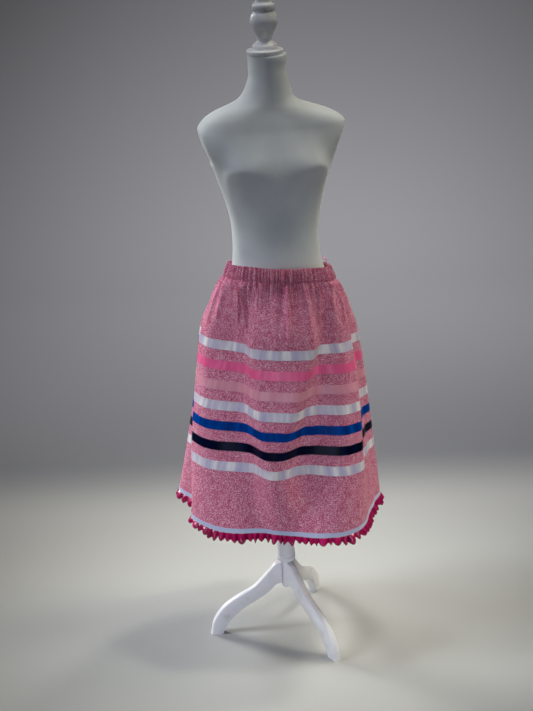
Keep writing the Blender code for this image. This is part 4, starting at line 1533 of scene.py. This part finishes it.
    def build_legs(self, material: bpy.types.Material) -> None:
        """Build the three legs, boards cut to an S with eased edges, flat where they stand."""
        places = list(range(len(self.leg_pairs)))
        stations = np.arange(self.leg_stations + 1) * places[-1] / self.leg_stations
        for index in range(self.leg_count):
            angle = self.leg_first_angle + 2 * math.pi * index / self.leg_count
            pairs = [LegPair(*smooth_columns(places, self.leg_pairs, at)) for at in stations]
            rings = np.stack([self.leg_ring(pair, angle) for pair in pairs])
            piece = ClothGrid(rings).tube(f"painted_leg_{index + 1}", material)
            piece.data.set_sharp_from_angle(angle=self.leg_sharp_angle)
            dress(piece, f"leg_{index + 1}")

    def build(self) -> None:
        """Build the whole form."""
        self.build_torso()
        paint = PaintedWood().material()
        for piece in TURNED_PIECES:
            piece.build(paint)
        self.build_legs(paint)


# ---------------------------------------------------------------- the studio


class Lamp(NamedTuple):
    """A soft light with a shaped beam.

    Attributes:
        name: its name.
        place: where it stands.
        aim: what it points at.
        beam: the tangent of the angle where its beam ends.
        size: the width of its disk.
        power: the power that would be as bright at its aim with an open beam.
        color: its colour.
    """

    name: str
    place: tuple[float, float, float]
    aim: tuple[float, float, float]
    beam: float
    size: float
    power: float
    color: str

    def energy(self) -> float:
        """Return the power that goes into the shaped beam."""
        half = math.atan(self.beam)
        inside = half - math.sin(half) * math.cos(half)
        return self.power * (math.sin(half) ** 2 - inside / self.beam)


@dataclass
class Studio:
    """A pale floor that sweeps up into a grey backdrop, soft lights and the camera."""

    floor_color: str = "B0B1AE"
    wall_color: str = "7C7E82"
    grey_from: float = 0.70
    grey_to: float = 1.15
    sweep_start: float = 3.2
    sweep_radius: float = 2.5
    sweep_steps: int = 25
    wall_height: float = 3.2
    half_width: float = 6.0
    front_reach: float = 6.0
    camera_back: float = 3.17
    camera_height: float = 2.115
    pitch: float = math.radians(21.5)
    yaw: float = math.radians(0.55)
    roll: float = math.radians(-2.6)
    focal_pixels: float = 1250.0
    picture_height: float = 711.0
    sensor: float = 36.0
    ambient: str = "8A9098"
    ambient_strength: float = 0.02
    lamps: tuple[Lamp, ...] = (
        Lamp("side_left", (-2.29, -0.20, 5.80), (0, 0, 0.12), 0.1090, 1.5, 275.0, "E6EDFF"),
        Lamp("side_right", (2.32, -0.20, 5.80), (0, 0, 0.12), 0.1110, 1.5, 345.0, "FFFCEA"),
        Lamp("low_back_left", (-4.78, 3.92, 2.93), (0, 0, 0.45), 0.20, 2.1, 666.0, "FFFFFA"),
        Lamp("low_left", (-4.00, -0.40, 3.60), (0, 0, 0.50), 0.230, 1.4, 192.0, "F4F8FF"),
        Lamp("low_right", (4.00, 0.30, 3.60), (0, 0, 0.40), 0.26, 1.4, 82.0, "FFF4D8"),
        Lamp("high_back_left", (-2.25, 2.60, 5.05), (0, 0, 0.10), 0.15, 1.5, 130.0, "F4F8FF"),
        Lamp("high_back_right", (2.75, 1.85, 5.15), (0, 0, 0.10), 0.16, 1.5, 290.0, "FFF8EC"),
        Lamp("front_fill", (0.01, -5.60, 1.60), (0, 0, 0.10), 0.31, 2.4, 190.0, "E4EBFF"),
        Lamp("backdrop", (0.32, 0.20, 5.50), (0.32, 3.5, 0.4), 0.63, 1.5, 740.0, "FFFBFA"),
    )

    def add_object(self, name: str, data: bpy.types.ID) -> bpy.types.Object:
        """Add a light or a camera to the scene."""
        holder = bpy.data.objects.new(name, data)
        bpy.context.scene.collection.objects.link(holder)
        return holder

    def add_backdrop(self) -> None:
        """Build the floor and the wall as one sweep."""
        turns = np.linspace(0, math.pi / 2, self.sweep_steps)
        bend = [(self.sweep_start + self.sweep_radius * math.sin(turn),
                 self.sweep_radius * (1 - math.cos(turn))) for turn in turns]
        wall = self.sweep_start + self.sweep_radius
        line = [(-self.front_reach, 0.0), *bend, (wall, self.wall_height)]
        points = [(x, y, z) for y, z in line for x in (-self.half_width, self.half_width)]
        faces = [[2 * i, 2 * i + 1, 2 * i + 3, 2 * i + 2] for i in range(len(line) - 1)]
        uv = np.zeros((len(faces) * 4, 2))
        piece = link_mesh("studio_sweep", np.array(points), faces, uv, self.paper())

    def paper(self) -> bpy.types.Material:
        """Return the backdrop's matt paper, pale in front and turning grey behind."""
        finish = Finish("matt_studio_paper", Roughness=0.95)
        places = {"Vector": finish.places("Object")}
        depth = finish.add("ShaderNodeSeparateXYZ", links=places).outputs["Y"]
        share = finish.add(
            "ShaderNodeMapRange",
            {"interpolation_type": "SMOOTHSTEP"},
            {"From Min": self.grey_from, "From Max": self.grey_to},
            {"Value": depth},
        ).outputs["Result"]
        color = finish.ramp(share, (0.0, 1.0), self.floor_color, self.wall_color)
        return finish.done(Base_Color=color)

    def add_lamps(self) -> None:
        """Add the soft lights, each turned to its aim."""
        for lamp in self.lamps:
            light = bpy.data.lights.new(lamp.name, "AREA")
            light.shape = "DISK"
            light.size = lamp.size
            light.energy = lamp.energy()
            light.spread = 2 * math.atan(lamp.beam)
            light.color = linear(lamp.color)[:3]
            holder = self.add_object(lamp.name, light)
            aim = Vector(lamp.aim) - Vector(lamp.place)
            holder.location = lamp.place
            holder.rotation_euler = aim.to_track_quat("-Z", "Y").to_euler()

    def add_air(self) -> None:
        """Add the even light of the room."""
        world = bpy.data.worlds.new("studio_air")
        world.use_nodes = True
        background = world.node_tree.nodes["Background"]
        background.inputs["Color"].default_value = linear(self.ambient)
        background.inputs["Strength"].default_value = self.ambient_strength
        bpy.context.scene.world = world

    def add_camera(self) -> None:
        """Add the camera, a little above the form and looking down at the skirt."""
        camera = bpy.data.cameras.new("camera")
        camera.sensor_width = self.sensor
        camera.lens = self.sensor * self.focal_pixels / self.picture_height
        holder = self.add_object("camera", camera)
        place = Matrix.Translation((POLE_X, POLE_Y - self.camera_back, self.camera_height))
        turn = Matrix.Rotation(self.yaw, 4, "Z")
        tilt = Matrix.Rotation(math.pi / 2 - self.pitch, 4, "X")
        holder.matrix_world = place @ turn @ tilt @ Matrix.Rotation(self.roll, 4, "Z")
        bpy.context.scene.camera = holder

    def build(self) -> None:
        """Set up the studio."""
        self.add_backdrop()
        self.add_lamps()
        self.add_air()
        self.add_camera()
        bpy.context.scene.view_settings.view_transform = "Standard"


# ---------------------------------------------------------------- everything


def main() -> None:
    """Build the skirt, the form and the studio."""
    logging.basicConfig(level=logging.INFO, format="%(name)s %(message)s")
    Studio().build()
    skirt = RibbonSkirt()
    ribbons, tape = skirt.build()
    Ruffle(skirt.shape).build()
    pink = SewingThread("E9A3B8", "C9718C").material("pink_sewing_thread")
    pale = SewingThread("E6E2EC", "C6C2D2").material("pale_sewing_thread")
    whites = [grid for grid, row in zip(ribbons, RIBBON_ROWS) if row.satin is WHITE_SATIN]
    others = [grid for grid, row in zip(ribbons, RIBBON_ROWS) if row.satin is not WHITE_SATIN]
    ribbon_stitches = Stitching()
    ribbon_stitches.build("stitches_on_colored_ribbons", others, pink, "pink_cotton")
    ribbon_stitches.build("stitches_on_white_ribbons", whites, pale, "white_satin")
    tape_stitches = Stitching(slant=0.0, inset=0.0015)
    tape_stitches.build("stitches_on_tape", [tape], pale, "pale_blue_tape")
    DressForm().build()


if __name__ == "__main__":
    main()
